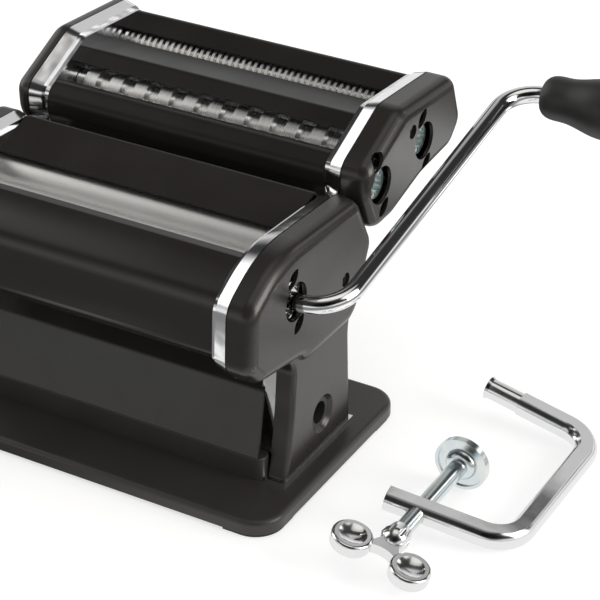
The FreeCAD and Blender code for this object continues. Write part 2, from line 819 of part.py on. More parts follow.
def make_tie_rods():
    """Rods that hold the two frames apart, with a nut outside each web."""
    pieces = []
    outside = web_inner_x + sheet_t
    for y, z in tie_rods:
        bar = rod_x(-web_inner_x, web_inner_x, y, z, rod_r)
        thread = rod_x(-outside - nut_t, outside + nut_t, y, z, rod_thread_r)
        pieces.append(bar.fuse(thread).removeSplitter())
        for sx in (-1, 1):
            corners = []
            for k in range(6):
                angle = k * math.pi / 3
                corners.append((y + nut_r * math.cos(angle), z + nut_r * math.sin(angle), 0.0))
            x0 = outside if sx > 0 else -outside - nut_t
            nut = prism(corners, x0, x0 + nut_t)
            pieces.append(nut.cut(rod_x(x0 - 1, x0 + nut_t + 1, y, z, rod_thread_r)))
    save("tie_rods", *pieces)


def make_scrapers():
    """Plastic scrapers on two of the rods, their edges just off the rollers."""
    fy, fz = tie_rods[0]
    tip = math.radians(scraper_front_deg)
    reach = roller_r + side_gap
    ty = front_y + reach * math.cos(tip)
    tz = front_z + reach * math.sin(tip)
    front = prism([
        (fy - 4.2, fz - 3.6, 1.0), (fy + 3.0, fz - 4.4, 1.0), (ty + 0.6, tz - 0.6, 0.0),
        (ty, tz, 0.0), (ty - 2.0, tz + 0.2, 0.0), (fy + 2.0, fz + 4.4, 1.0), (fy - 3.6, fz + 4.0, 1.0),
    ], -web_inner_x, web_inner_x)
    ry, rz = tie_rods[1]
    tip = math.radians(scraper_rear_deg)
    ty = rear_y + reach * math.cos(tip)
    tz = rear_z + reach * math.sin(tip)
    rear = prism([
        (ty, tz, 0.0), (ty + 1.4, tz - 0.6, 0.0), (ry + 4.4, rz - 1.5, 1.0), (ry + 2.6, rz + 4.2, 1.0),
        (ry - 2.4, rz + 4.4, 1.0), (ry - 1.6, rz - 3.6, 1.0),
    ], -web_inner_x, web_inner_x)
    front = front.cut(rod_x(-web_inner_x - 1, web_inner_x + 1, fy, fz, rod_r))
    rear = rear.cut(rod_x(-web_inner_x - 1, web_inner_x + 1, ry, rz, rod_r))
    save("roller_scrapers", front, rear)


def make_bushes():
    """Plain bushes in the frames for the front roller and the regulator shaft."""
    def flanged(y, z, r_in, r_out):
        bush = tube_x(web_inner_x, web_inner_x + sheet_t + bush_flange, y, z, r_out, r_in)
        rim = tube_x(web_inner_x + sheet_t, web_inner_x + sheet_t + bush_flange, y, z, r_out + 1.2, r_in)
        return bush.fuse(rim).removeSplitter()
    roller = flanged(front_y, front_z, front_journal_r + run_gap, front_journal_r + run_gap + bush_wall)
    save("roller_bushes", roller, mirrored(roller))
    r_in = regulator_r + run_gap
    shaft = tube_x(web_inner_x, web_inner_x + sheet_t, regulator_y, regulator_z, r_in + sleeve_wall, r_in)
    save("regulator_bushes", shaft, mirrored(shaft))


def make_clamp_sockets():
    """Sleeves in the columns that the clamp's round end goes into."""
    sleeve = tube_x(web_inner_x, column_out_x - clamp_socket_bevel, clamp_socket_y, clamp_socket_z,
                    clamp_socket_r + clamp_socket_wall, clamp_socket_r)
    save("clamp_sockets", sleeve, mirrored(sleeve))


def make_cutter_guides():
    """Upright blades behind the head that the cutter head's hooks slide down on."""
    seat_x = web_inner_x - guide_reach
    seat = box(seat_x, web_inner_x, guide_y - hook_wall, guide_y + guide_t + hook_wall, guide_seat_z,
               guide_foot_z)
    blade = box(seat_x + guide_wall, web_inner_x, guide_y, guide_y + guide_t, guide_foot_z, guide_top_z)
    guide = join([seat, blade])
    save("cutter_guides", guide, mirrored(guide))


def make_front_roller():
    """Front roller with its gear and the socket that the crank plugs into."""
    right_end = gear_x + gear_t
    left_end = web_inner_x + sheet_t + 2 * bush_flange
    roller = join([
        rod_x(-roller_half, roller_half, front_y, front_z, roller_r),
        rod_x(-left_end, right_end, front_y, front_z, front_journal_r),
    ])
    deep = cover_out_x - crank_insert - 2.0
    roller = roller.cut(rod_x(deep, right_end + 1, front_y, front_z, crank_bore_r))
    roller = chamfer_roller(roller, roller_r)
    save("front_roller", roller)
    phase = line_of_centres_deg()
    wheel = gear(gear_x, right_end, front_y, front_z, gear_teeth, gear_base_r, gear_mesh_r, gear_tip_r,
                 gear_root_r, gear_backlash, phase, front_journal_r)
    hub = tube_x(web_inner_x + sheet_t + bush_flange + side_gap, gear_x, front_y, front_z, gear_hub_r,
                 front_journal_r)
    save("front_roller_gear", wheel.fuse(hub).removeSplitter())
    socket = rod_x(right_end, collar_x, front_y, front_z, socket_r)
    collar = rod_x(collar_x - collar_t, collar_x, front_y, front_z, collar_r)
    for k in range(scallops):
        angle = (k + 0.5) * 2 * math.pi / scallops
        reach = collar_r + scallop_r / 2
        collar = collar.cut(rod_x(collar_x - collar_t - 1, collar_x + 1, front_y + reach * math.cos(angle),
                                  front_z + reach * math.sin(angle), scallop_r))
    socket = socket.fuse(collar)
    socket = socket.cut(rod_x(collar_x - collar_cup_depth, collar_x + 1, front_y, front_z, collar_cup_r))
    socket = socket.cut(rod_x(right_end - 1, collar_x + 1, front_y, front_z, crank_bore_r))
    slot_w = crank_pin_r + pin_gap
    slot_reach = crank_pin_half + pin_gap
    socket = socket.cut(box(pin_x - slot_w, collar_x + 1, front_y - slot_w, front_y + slot_w,
                            front_z - slot_reach, front_z + slot_reach))
    save("crank_socket", socket.removeSplitter())


def chamfer_roller(roller, radius):
    """Break the sharp rims of a roller."""
    rims = [e for e in roller.Edges if e.Curve.TypeId == "Part::GeomCircle"
            and abs(e.Curve.Radius - radius) < 1e-4 and e.isClosed()]
    return roller.makeChamfer(0.5, rims)


def line_of_centres_deg():
    return math.degrees(math.atan2(rear_z - front_z, rear_y - front_y))


def make_rear_roller():
    """Rear roller, carried by the sleeves in the eccentric rings."""
    right_end = gear_x + gear_t + 0.8
    left_end = sector_x + sector_t + 2.5
    roller = join([
        rod_x(-roller_half, roller_half, rear_y, rear_z, roller_r),
        rod_x(-left_end, right_end, rear_y, rear_z, rear_journal_r),
    ])
    save("rear_roller", chamfer_roller(roller, roller_r))
    phase = line_of_centres_deg() + 180.0 / gear_teeth * (1 + gear_teeth % 2)
    wheel = gear(gear_x, gear_x + gear_t, rear_y, rear_z, gear_teeth, gear_base_r, gear_mesh_r, gear_tip_r,
                 gear_root_r, gear_backlash, phase, rear_journal_r)
    save("rear_roller_gear", wheel)


def make_eccentrics():
    """Eccentric rings with their toothed sectors, and the sleeves that carry the rear roller."""
    inner_r = sleeve_out_r + run_gap
    ring = rod_x(web_inner_x + 0.1, sector_x + 0.01, pivot_y, pivot_z, ring_r)
    pitch_r = sector_pitch_r
    base_r = pitch_r * math.cos(math.radians(20.0))
    teeth = gear_face(pivot_y, pivot_z, sector_teeth, base_r, pitch_r, pitch_r + sector_module * 0.9,
                      pitch_r - sector_module * 1.25, small_backlash, regulator_dir_deg, steps=2)
    wheel = prism(teeth, sector_x, sector_x + sector_t)
    half = throw_turn_deg / 2 + sector_margin_deg
    middle = regulator_dir_deg - throw_turn_deg / 2
    wedge = [(pivot_y, pivot_z, 0.0)]
    for k in range(5):
        angle = math.radians(middle - half + k * half / 2)
        wedge.append((pivot_y + 40 * math.cos(angle), pivot_z + 40 * math.sin(angle), 0.0))
    wheel = wheel.common(prism(wedge, sector_x - 1, sector_x + sector_t + 1))
    hub = rod_x(sector_x, sector_x + sector_t, pivot_y, pivot_z, ring_r + ring_hub_wall)
    ring = join([ring, wheel, hub]).cut(rod_x(web_inner_x - 1, gear_x + 5, rear_y, rear_z, inner_r))
    save("eccentric_rings", ring, mirrored(ring))
    sleeve = tube_x(web_inner_x + 0.1, sector_x + sector_t + 1.2, rear_y, rear_z, sleeve_out_r,
                    rear_journal_r + run_gap)
    save("roller_sleeves", sleeve, mirrored(sleeve))


def make_regulator():
    """Regulator shaft across the machine, with a pinion at each side, and its dial."""
    middle = web_inner_x + sheet_t
    shaft = join([
        rod_x(-middle, middle, regulator_y, regulator_z, regulator_r),
        rod_x(-dial_x - shaft_grip, sector_x + sector_t + side_gap, regulator_y, regulator_z, regulator_end_r),
    ])
    save("regulator_shaft", shaft)
    pitch_r = pinion_pitch_r
    base_r = pitch_r * math.cos(math.radians(20.0))
    phase = regulator_dir_deg + 180.0 + 180.0 / pinion_teeth
    pinion = gear(sector_x, sector_x + sector_t, regulator_y, regulator_z, pinion_teeth, base_r, pitch_r,
                  pitch_r + sector_module * 0.8, pitch_r - sector_module * 1.2, small_backlash, phase,
                  regulator_end_r)
    save("regulator_pinions", pinion, mirrored(pinion))


def make_knob():
    """Fluted adjuster knob that is pulled out against a spring and turned, and its dial plate."""
    x0 = -(dial_x + dial_gap)
    x1 = x0 - knob_depth
    body = rod_x(x1, x0, regulator_y, regulator_z, knob_r)
    rim = [e for e in body.Edges if e.Curve.TypeId == "Part::GeomCircle" and abs(e.BoundBox.XMin - x1) < 1e-4]
    body = body.makeFillet(knob_edge_r, rim)
    flute_reach = knob_r + knob_flute_r / 2
    for k in range(knob_flutes):
        angle = k * 2 * math.pi / knob_flutes
        body = body.cut(rod_x(x1 - 1, x0 - knob_skirt, regulator_y + flute_reach * math.cos(angle),
                              regulator_z + flute_reach * math.sin(angle), knob_flute_r))
    body = body.cut(rod_x(-(dial_x + shaft_grip + side_gap), x0 + 1, regulator_y, regulator_z,
                          regulator_end_r + run_gap))
    save("adjuster_knob", body)
    plate = rod_x(-dial_x, -cover_out_x, regulator_y, regulator_z, dial_r)
    inside = mirrored(prism(head_outline, cover_out_x - 5, cover_out_x + 5, cover_edge_r + 0.2))
    plate = plate.common(inside).cut(rod_x(-dial_x - 1, -cover_out_x + 1, regulator_y, regulator_z,
                                           regulator_end_r + side_gap))
    save("dial_plate", plate)


def crank_path():
    """Crank centre line: into the socket, along the arm and out again to the grip."""
    start_x = cover_out_x - crank_insert
    end_x = grip_start_x + grip_length - grip_tail
    return [
        FreeCAD.Vector(start_x, front_y, front_z),
        FreeCAD.Vector(crank_arm_x, front_y, front_z),
        FreeCAD.Vector(crank_arm_x, crank_end_y, crank_end_z),
        FreeCAD.Vector(end_x, crank_end_y, crank_end_z),
    ]


def bent_rod(points, bend_r, radius, section=None):
    """Round bar along straight runs joined by tangent arcs."""
    edges = []
    last = points[0]
    for i in range(1, len(points) - 1):
        back = (points[i - 1] - points[i]).normalize()
        ahead = (points[i + 1] - points[i]).normalize()
        half = math.acos(back.dot(ahead)) / 2
        reach = bend_r / math.tan(half)
        start = points[i] + back * reach
        end = points[i] + ahead * reach
        middle = points[i] + (back + ahead).normalize() * (bend_r / math.sin(half) - bend_r)
        edges.append(Part.LineSegment(last, start).toShape())
        edges.append(Part.Arc(start, middle, end).toShape())
        last = end
    edges.append(Part.LineSegment(last, points[-1]).toShape())
    path = Part.Wire(edges)
    if section is None:
        direction = points[1] - points[0]
        section = Part.Wire([Part.makeCircle(radius, points[0], direction)])
    return path.makePipeShell([section], True, False)


def make_crank():
    points = crank_path()
    rod = bent_rod(points, crank_bend_r, crank_r)
    pin = rod_z(front_z - crank_pin_half, front_z + crank_pin_half, pin_x, front_y, crank_pin_r)
    rod = rod.cut(pin)
    save("crank_rod", rod)
    save("crank_pin", pin)
    bore_end = points[-1].x + side_gap
    profile = [
        (0.0, grip_small_r - 1.0), (0.012, grip_small_r), (0.14, grip_small_r + 1.7),
        (0.33, grip_large_r - 0.4), (0.52, grip_large_r), (0.72, grip_large_r - 0.5),
    ]
    spots = [FreeCAD.Vector(grip_start_x + f * grip_length, crank_end_y, crank_end_z + r)
             for f, r in profile]
    end_x = grip_start_x + grip_length
    tail = FreeCAD.Vector(end_x - grip_end_r, crank_end_y, crank_end_z + grip_end_r)
    spots.append(tail)
    curve = Part.BSplineCurve()
    curve.interpolate(spots)
    shoulder = FreeCAD.Vector(end_x - grip_end_r * (1 - math.sqrt(0.5)), crank_end_y,
                              crank_end_z + grip_end_r * math.sqrt(0.5))
    tip = FreeCAD.Vector(end_x, crank_end_y, crank_end_z)
    cap = Part.Arc(tail, shoulder, tip).toShape()
    centre_start = FreeCAD.Vector(grip_start_x, crank_end_y, crank_end_z)
    edges = [
        Part.LineSegment(centre_start, spots[0]).toShape(), curve.toShape(), cap,
        Part.LineSegment(tip, centre_start).toShape(),
    ]
    face = Part.Face(Part.Wire(edges))
    grip = face.revolve(centre_start, FreeCAD.Vector(1, 0, 0), 360)
    grip = grip.cut(rod_x(grip_start_x - 1, bore_end, crank_end_y, crank_end_z, crank_bore_r))
    save("crank_grip", grip)


def cutter_places():
    """Axes of the four cutter rollers: name, y, z, pitch, gap and whether it is the driven one."""
    return [
        ("wide_cutter_front", wide_y, wide_z, wide_pitch, wide_gap, True),
        ("wide_cutter_rear", wide_y + mate_dy, wide_z + mate_dz, wide_pitch, wide_gap, False),
        ("fine_cutter_front", fine_y, fine_z, fine_pitch, fine_gap, True),
        ("fine_cutter_rear", fine_y + mate_dy, fine_z + mate_dz, fine_pitch, fine_gap, False),
    ]


def make_cutter_rollers():
    """Grooved cutter rollers: the discs of each pair run in the other one's grooves."""
    for name, y, z, pitch, gap, driven in cutter_places():
        disc_w = pitch / 2 - gap
        offset = 0.0 if driven else pitch / 2
        profile = [(-cutter_half, 0.0), (-cutter_half, cutter_core_r)]
        count = int(2 * cutter_half / pitch)
        first = -pitch * count / 2
        for k in range(count + 1):
            x0 = first + k * pitch + offset - pitch / 4 - disc_w / 2
            x1 = x0 + disc_w
            if x0 < -cutter_half + 0.5 or x1 > cutter_half - 0.5:
                continue
            profile += [(x0, cutter_core_r), (x0, cutter_r), (x1, cutter_r), (x1, cutter_core_r)]
        profile += [(cutter_half, cutter_core_r), (cutter_half, 0.0)]
        corners = [FreeCAD.Vector(x, y, z + r) for x, r in profile]
        wire = Part.makePolygon(corners + [corners[0]])
        body = Part.Face(wire).revolve(FreeCAD.Vector(0, y, z), FreeCAD.Vector(1, 0, 0), 360)
        gear_end = cutter_gear_x + cutter_gear_t
        spacer_x = cutter_web_x + sheet_t + bush_flange + side_gap
        shaft_end = spacer_x + drive_overlap if driven else gear_end
        bore_r = spacer_r if driven else cutter_shaft_r
        shaft = rod_x(-cutter_web_x - sheet_t - 2 * bush_flange, shaft_end, y, z, cutter_shaft_r)
        save(name, join([body, shaft]))
        pitch_r = cutter_spread / 2
        base_r = pitch_r * math.cos(math.radians(24.0))
        phase = cutter_tilt_deg if driven else cutter_tilt_deg + 180.0 / cutter_gear_teeth
        wheel = gear(cutter_gear_x, gear_end, y, z, cutter_gear_teeth, base_r, pitch_r,
                     pitch_r + cutter_tooth_out, pitch_r - cutter_tooth_in, cutter_backlash, phase, bore_r)
        if driven:
            make_drive_socket(name.replace("cutter_front", "drive_socket"), y, z, spacer_x, shaft_end, gear_end)
        else:
            wheel = wheel.fuse(tube_x(spacer_x, cutter_gear_x, y, z, spacer_r, cutter_shaft_r)).removeSplitter()
        save(name.replace("cutter", "gear"), wheel)


def make_drive_socket(node, y, z, x0, shaft_end, gear_end):
    """Star shaped zinc socket over a cutter roller's end, through its gear, for the crank and its pin."""
    x1 = cover_out_x - drive_recess
    socket = rod_x(x0, gear_end, y, z, spacer_r).fuse(rod_x(gear_end, x1, y, z, drive_disc_r))
    socket = socket.cut(rod_x(x0 - 1, shaft_end, y, z, cutter_shaft_r))
    socket = socket.cut(rod_x(shaft_end, x1 + 1, y, z, drive_hole_r))
    half_w = crank_pin_r + pin_gap
    for k in range(4):
        angle = k * math.pi / 4
        dy = star_half * math.cos(angle)
        dz = star_half * math.sin(angle)
        socket = socket.cut(slot_x(x1 - star_depth, x1 + 1, y - dy, z - dz, y + dy, z + dz, half_w))
    save(node, socket.removeSplitter())


def make_cutter_sides():
    """Side frames and covers of the cutter head."""
    frame = frame_side(cutter_outline, cutter_web_x, cutter_flange_x, cutter_cover_x)
    for _, y, z, _, _, _ in cutter_places():
        frame = frame.cut(rod_x(cutter_web_x - 1, cutter_flange_x, y, z,
                                cutter_shaft_r + run_gap + cutter_bush_wall))
    for y, z in cutter_rods:
        frame = frame.cut(rod_x(cutter_web_x - 1, cutter_flange_x, y, z, cutter_thread_r))
    save("cutter_frame_right", frame)
    save("cutter_frame_left", mirrored(frame))
    y = cutter_screw_y
    z = cutter_screw_z
    seat_x = cutter_cover_x + cutter_post_proud
    screws = []
    for face_x in (cover_out_x, cutter_left_x):
        shell = cutter_shell(face_x)
        shell = screw_boss(shell, seat_x, face_x, y, z)
        screws.append(cross_screw(seat_x - 3.0, face_x - screw_sink, y, z))
        if face_x == cutter_left_x:
            save("cutter_cover_left", mirrored(shell))
            continue
        for _, socket_y, socket_z, _, _, driven in cutter_places():
            if driven:
                shell = shell.cut(bayonet_cut(cover_out_x, socket_y, socket_z))
        save("cutter_cover_right", shell)
    post = tube_x(cutter_web_x + sheet_t, seat_x, y, z, cutter_post_r, screw_r)
    save("cutter_posts", post, mirrored(post))
    save("cutter_screws", screws[0], mirrored(screws[1]))


def cutter_shell(face_x):
    """Hollow cover of the cutter head with a rounded face; the left one is slimmer, for it has no gears."""
    shell = rounded_face(prism(cutter_outline, cutter_cover_x, face_x), face_x, cover_edge_r)
    room = rounded_face(prism(cutter_outline, cutter_cover_x - 1, face_x - cutter_cover_wall,
                              cutter_cover_wall), face_x - cutter_cover_wall,
                        cover_edge_r - cutter_cover_wall)
    return shell.cut(room).cut(seam(cutter_outline, cutter_cover_x))


def make_cutter_strips():
    """Black cross strips over and between the cutter rollers, and the rods behind them."""
    half = cutter_web_x
    save("cutter_front_strip", prism(ribbon(cutter_front_path, panel_t, 1.0), -half, half))
    save("cutter_middle_strip", prism(ribbon(cutter_middle_path, panel_t, -1.0), -half, half))
    save("cutter_rear_strip", prism(ribbon(cutter_rear_path, panel_t, -1.0), -half, half))
    rods = []
    for y, z in cutter_rods:
        bar = rod_x(-half, half, y, z, cutter_rod_r)
        thread = rod_x(-half - sheet_t, half + sheet_t, y, z, cutter_thread_r)
        rods.append(bar.fuse(thread).removeSplitter())
    save("cutter_tie_rods", *rods)


def make_cutter_bushes():
    bushes = []
    for _, y, z, _, _, _ in cutter_places():
        r_in = cutter_shaft_r + run_gap
        r_out = r_in + cutter_bush_wall
        bush = tube_x(cutter_web_x, cutter_web_x + sheet_t + bush_flange, y, z, r_out, r_in)
        bushes += [bush, mirrored(bush)]
    save("cutter_bushes", *bushes)


def make_cutter_hooks():
    """Hooks on the cutter head's sides that slide down over the guide blades."""
    low = guide_foot_z + hook_rise
    front = guide_y - hook_gap
    back = guide_y + guide_t + hook_gap
    x0 = web_inner_x - guide_reach
    hook = box(x0, cutter_web_x, front - hook_wall, back + hook_wall, low, hook_high_z)
    hook = hook.cut(box(x0 + guide_wall - hook_gap, cutter_web_x + 1, front, back, low - 1, hook_high_z + 1))
    arm = box(cutter_web_x - sheet_t, cutter_web_x, back, hook_arm_y, hook_arm_low_z, hook_arm_high_z)
    hook = join([hook, arm])
    save("cutter_hooks", hook, mirrored(hook))


def make_combs():
    """Combs under the cutter rollers, with one tine in each groove."""
    combs = []
    for name, y, z, pitch, gap, driven in cutter_places():
        side = -1.0 if driven else 1.0
        disc_w = pitch / 2 - gap
        offset = 0.0 if driven else pitch / 2
        count = int(2 * cutter_half / pitch)
        first = -pitch * count / 2
        y0 = y + side * comb_near
        y1 = y0 + side * comb_width
        z_top = z - math.sqrt((cutter_core_r + side_gap) ** 2 - comb_near ** 2)
        bar_z = z - cutter_r - side_gap
        bar = box(-cutter_web_x, cutter_web_x, y0, y1, bar_z - comb_t, bar_z)
        tines = []
        for k in range(count):
            x0 = first + k * pitch + offset + pitch / 4 - disc_w / 2 + gap
            x1 = x0 + disc_w - 2 * gap
            if x0 > -cutter_half + 0.5 and x1 < cutter_half - 0.5:
                tines.append(box(x0, x1, y0, y0 + side * tine_t, bar_z - comb_t / 2, z_top))
        combs.append(bar.fuse(tines).removeSplitter())
    save("cutter_combs", *combs)


def clamp_roll_deg():
    """The clamp lies on its bends and on the rim of its pad, so it is rolled about them."""
    rise = clamp_pad_r - clamp_bar_r
    return math.degrees(math.atan2(rise, clamp_spine_x - clamp_screw_x))


def laid_down(shape):
    shape.rotate(FreeCAD.Vector(clamp_spine_x, 0, clamp_bar_r), FreeCAD.Vector(0, 1, 0), clamp_roll_deg())
    return shape


def make_clamp():
    """Bent bar clamp with a screw, a wing grip and a swivelling pad."""
    z = clamp_bar_r
    roll = math.cos(math.radians(clamp_roll_deg()))
    screw_x = clamp_spine_x - (clamp_spine_x - clamp_screw_x) / roll
    end_x = clamp_spine_x - (clamp_spine_x - clamp_arm_end_x) / roll
    run = clamp_spine_x - end_x
    points = [
        FreeCAD.Vector(end_x - 2.0, clamp_lower_y + clamp_low_slope * run, z),
        FreeCAD.Vector(clamp_spine_x, clamp_lower_y, z),
        FreeCAD.Vector(clamp_spine_x, clamp_upper_y, z),
        FreeCAD.Vector(end_x + clamp_tip_length,
                       clamp_upper_y + clamp_high_slope * (run - clamp_tip_length), z),
    ]
    flat = clamp_bar_r * clamp_flat
    direction = points[1] - points[0]
    section = Part.Wire([Part.makeCircle(clamp_bar_r, points[0], direction)])
    bar = bent_rod(points, clamp_bend_r, clamp_bar_r, section)
    bar = bar.common(box(0, 400, -200, 200, z - clamp_bar_r, z + flat))
    tip_dir = (points[3] - points[2]).normalize()
    tip_start = points[3]
    tip = Part.makeCylinder(clamp_tip_r, clamp_tip_length, tip_start, tip_dir)
    lip_start = tip_start + tip_dir * (clamp_tip_length - 0.01)
    lip = Part.makeCone(clamp_tip_r, clamp_tip_r + clamp_tip_lip, clamp_lip_length, lip_start, tip_dir)
    arm_y = clamp_lower_y + clamp_low_slope * (clamp_spine_x - screw_x)
    bar = join([bar, tip, lip]).cut(rod_y(arm_y - 20, arm_y + 20, screw_x, z, clamp_screw_r + run_gap))
    save("clamp_bar", laid_down(bar))
    mouth_y = clamp_hub_y + hub_long + hub_short
    seat_y = mouth_y - 4.0
    neck_y = clamp_pad_y - 1.0 - clamp_dome_t - run_gap
    stem = rod_y(seat_y, neck_y, screw_x, z, clamp_screw_r)
    neck = rod_y(neck_y, clamp_pad_y + run_gap, screw_x, z, clamp_neck_r)
    save("clamp_screw", laid_down(join([stem, neck])))
    wing = clamp_wing(screw_x, z).cut(rod_y(seat_y, mouth_y + 1, screw_x, z, clamp_screw_r))
    wing.rotate(FreeCAD.Vector(screw_x, 0, z), FreeCAD.Vector(0, 1, 0), wing_turn_deg - clamp_roll_deg())
    save("clamp_wing", laid_down(wing))
    back_y = clamp_pad_y - 1.0
    disc = rod_y(back_y, back_y + clamp_pad_t, screw_x, z, clamp_pad_r)
    rim = rod_y(back_y - pad_rim_proud, back_y, screw_x, z, clamp_pad_r)
    rim = rim.cut(rod_y(back_y - 2 * pad_rim_proud, back_y + 1, screw_x, z, clamp_pad_r - pad_rim))
    dome = turned_y(screw_x, z, back_y, [(0.0, clamp_dome_r), (-0.7 * clamp_dome_t, 0.86 * clamp_dome_r),
                                         (-clamp_dome_t, clamp_dome_end_r)])
    pad = join([disc, rim, dome])
    pad = pad.cut(rod_y(clamp_pad_y - 10.0, clamp_pad_y + 2 * run_gap, screw_x, z, clamp_neck_r + run_gap))
    save("clamp_pad", laid_down(pad))


def turned_y(x, z, y, profile):
    """Solid turned round a line along Y: its side is one arc through three points (depth, radius)."""
    first, middle, last = [FreeCAD.Vector(x + r, y + dy, z) for dy, r in profile]
    start = FreeCAD.Vector(x, first.y, z)
    end = FreeCAD.Vector(x, last.y, z)
    edges = [
        Part.LineSegment(start, first).toShape(), Part.Arc(first, middle, last).toShape(),
        Part.LineSegment(last, end).toShape(), Part.LineSegment(end, start).toShape(),
    ]
    return Part.Face(Part.Wire(edges)).revolve(start, FreeCAD.Vector(0, 1, 0), 360)


def clamp_wing(x, z):
    """Cast wing: a fluted hub, and two thick dished lobes joined by a waisted neck."""
    mid_y = clamp_hub_y + hub_long
    front = turned_y(x, z, mid_y, [(0.0, hub_mid_r), (-0.62 * hub_long, 0.8 * hub_mid_r),
                                   (-hub_long, 0.35 * hub_mid_r)])
    mouth = Part.makeCone(hub_mid_r, hub_tip_r, hub_short, FreeCAD.Vector(x, mid_y, z), FreeCAD.Vector(0, 1, 0))
    hub = join([front, mouth])
    for k in range(hub_flutes):
        angle = (k + 0.5) * 2 * math.pi / hub_flutes
        reach = hub_mid_r + hub_flute_out
        hub = hub.cut(rod_y(clamp_hub_y - 1, mid_y + hub_short + 1, x + reach * math.cos(angle),
                            z + reach * math.sin(angle), hub_flute_r))
    lobe_y = clamp_hub_y - wing_drop
    parts = [hub]
    for sx in (-1, 1):
        lobe_x = x + sx * wing_half_span
        lobe = rod_z(z - wing_lobe_t / 2, z + wing_lobe_t / 2, lobe_x, lobe_y, wing_lobe_r)
        lobe = lobe.makeFillet(wing_edge_r, [e for e in lobe.Edges if e.isClosed()])
        for up in (-1, 1):
            rise = up * (wing_lobe_t / 2 + wing_dish_r - wing_dish_depth)
            lobe = lobe.cut(Part.makeSphere(wing_dish_r, FreeCAD.Vector(lobe_x, lobe_y, z + rise)))
        parts.append(lobe)
    # The neck's front edge is hollowed by an arc between the lobes; its back reaches into the hub
    back_y = clamp_hub_y + 0.5 * hub_long
    low = z - wing_web_half_t
    reach = wing_half_span - 0.5 * wing_lobe_r
    left = FreeCAD.Vector(x - reach, lobe_y - 0.3 * wing_lobe_r, low)
    right = FreeCAD.Vector(x + reach, left.y, low)
    waist = FreeCAD.Vector(x, lobe_y + wing_waist, low)
    left_back = FreeCAD.Vector(x - 0.5 * hub_mid_r, back_y, low)
    right_back = FreeCAD.Vector(x + 0.5 * hub_mid_r, back_y, low)
    edges = [
        Part.Arc(left, waist, right).toShape(), Part.LineSegment(right, right_back).toShape(),
        Part.LineSegment(right_back, left_back).toShape(), Part.LineSegment(left_back, left).toShape(),
    ]
    parts.append(Part.Face(Part.Wire(edges)).extrude(FreeCAD.Vector(0, 0, 2 * wing_web_half_t)))
    return join(parts)


make_base()
make_side_frames()
make_side_covers()
make_cover_brackets()
make_panels()
make_tie_rods()
make_scrapers()
make_bushes()
make_clamp_sockets()
make_cutter_guides()
make_front_roller()
make_rear_roller()
make_eccentrics()
make_regulator()
make_knob()
make_crank()
make_cutter_rollers()
make_cutter_sides()
make_cutter_strips()
make_cutter_bushes()
make_cutter_hooks()
make_combs()
make_clamp()
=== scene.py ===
import math

import bmesh
import bpy
from mathutils import Matrix, Vector


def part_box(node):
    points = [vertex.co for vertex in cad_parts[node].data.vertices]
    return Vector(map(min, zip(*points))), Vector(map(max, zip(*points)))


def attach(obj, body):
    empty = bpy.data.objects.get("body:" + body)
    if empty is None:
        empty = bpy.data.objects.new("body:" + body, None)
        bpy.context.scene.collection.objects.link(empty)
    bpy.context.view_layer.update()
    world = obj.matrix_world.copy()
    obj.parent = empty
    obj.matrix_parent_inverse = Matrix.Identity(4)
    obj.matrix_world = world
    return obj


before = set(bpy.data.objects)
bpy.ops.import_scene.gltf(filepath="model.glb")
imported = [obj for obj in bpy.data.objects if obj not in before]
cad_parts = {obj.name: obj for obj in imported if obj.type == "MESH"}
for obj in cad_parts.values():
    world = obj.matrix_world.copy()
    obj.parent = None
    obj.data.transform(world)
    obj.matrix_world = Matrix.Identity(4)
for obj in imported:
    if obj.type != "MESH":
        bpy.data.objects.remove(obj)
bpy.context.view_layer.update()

# BASE
# A moulded black plate with a rounded edge stands on four corner feet. It is smooth satin plastic
# with the faint even grain of its mould, and the frames are screwed down on it from below.
base_black = (0.026, 0.0235, 0.021)
foot_black = (0.012, 0.012, 0.012)
screw_steel = (0.52, 0.52, 0.53)


def node_adder(tree):
    """A function that adds a node to one tree with its settings, and sets or links its inputs."""

    def add(kind, inputs=(), **settings):
        node = tree.nodes.new(kind)
        for key, value in settings.items():
            setattr(node, key, value)
        for socket, value in dict(inputs).items():
            if isinstance(value, bpy.types.NodeSocket):
                tree.links.new(value, node.inputs[socket])
            else:
                node.inputs[socket].default_value = value
        return node

    return add


def new_material(name):
    """A plain material, its shader, and functions that add a node and link one to the shader."""
    material = bpy.data.materials.new(name)
    material.use_nodes = True
    tree = material.node_tree
    shader = tree.nodes["Principled BSDF"]

    def link(source, target):
        tree.links.new(source, shader.inputs[target])

    return material, shader, node_adder(tree), link


def mottle(add, place, scale, detail, rough=0.5):
    """A cloudy pattern between 0 and 1, with about that many clouds to the metre."""
    clouds = add("ShaderNodeTexNoise", {"Vector": place, "Scale": scale, "Detail": detail,
                                        "Roughness": rough})
    return clouds.outputs["Fac"]


def vary_dullness(add, link, pattern, low, high, smooth, dull):
    """A finish that goes from smooth to dull as a pattern goes from low to high."""
    dullness = add("ShaderNodeMapRange", {"Value": pattern, "From Min": low, "From Max": high,
                                          "To Min": smooth, "To Max": dull})
    link(dullness.outputs["Result"], "Roughness")


def vary_shade(add, link, pattern, colour, darkest, lightest):
    """A colour that goes with a pattern from its darkest shade to its lightest."""
    shade = add("ShaderNodeMix", {"Factor": pattern}, data_type="RGBA")
    for socket, level in (("A", darkest), ("B", lightest)):
        shade.inputs[socket].default_value = (*(channel * level for channel in colour), 1.0)
    link(shade.outputs["Result"], "Base Color")


def relief(add, pattern, depth_mm, **under):
    """Fine bumps that follow a pattern, with its full range depth_mm deep."""
    bumps = add("ShaderNodeBump", {"Height": pattern, "Strength": 1.0,
                                   "Distance": depth_mm / 1000.0, **under})
    return bumps.outputs["Normal"]


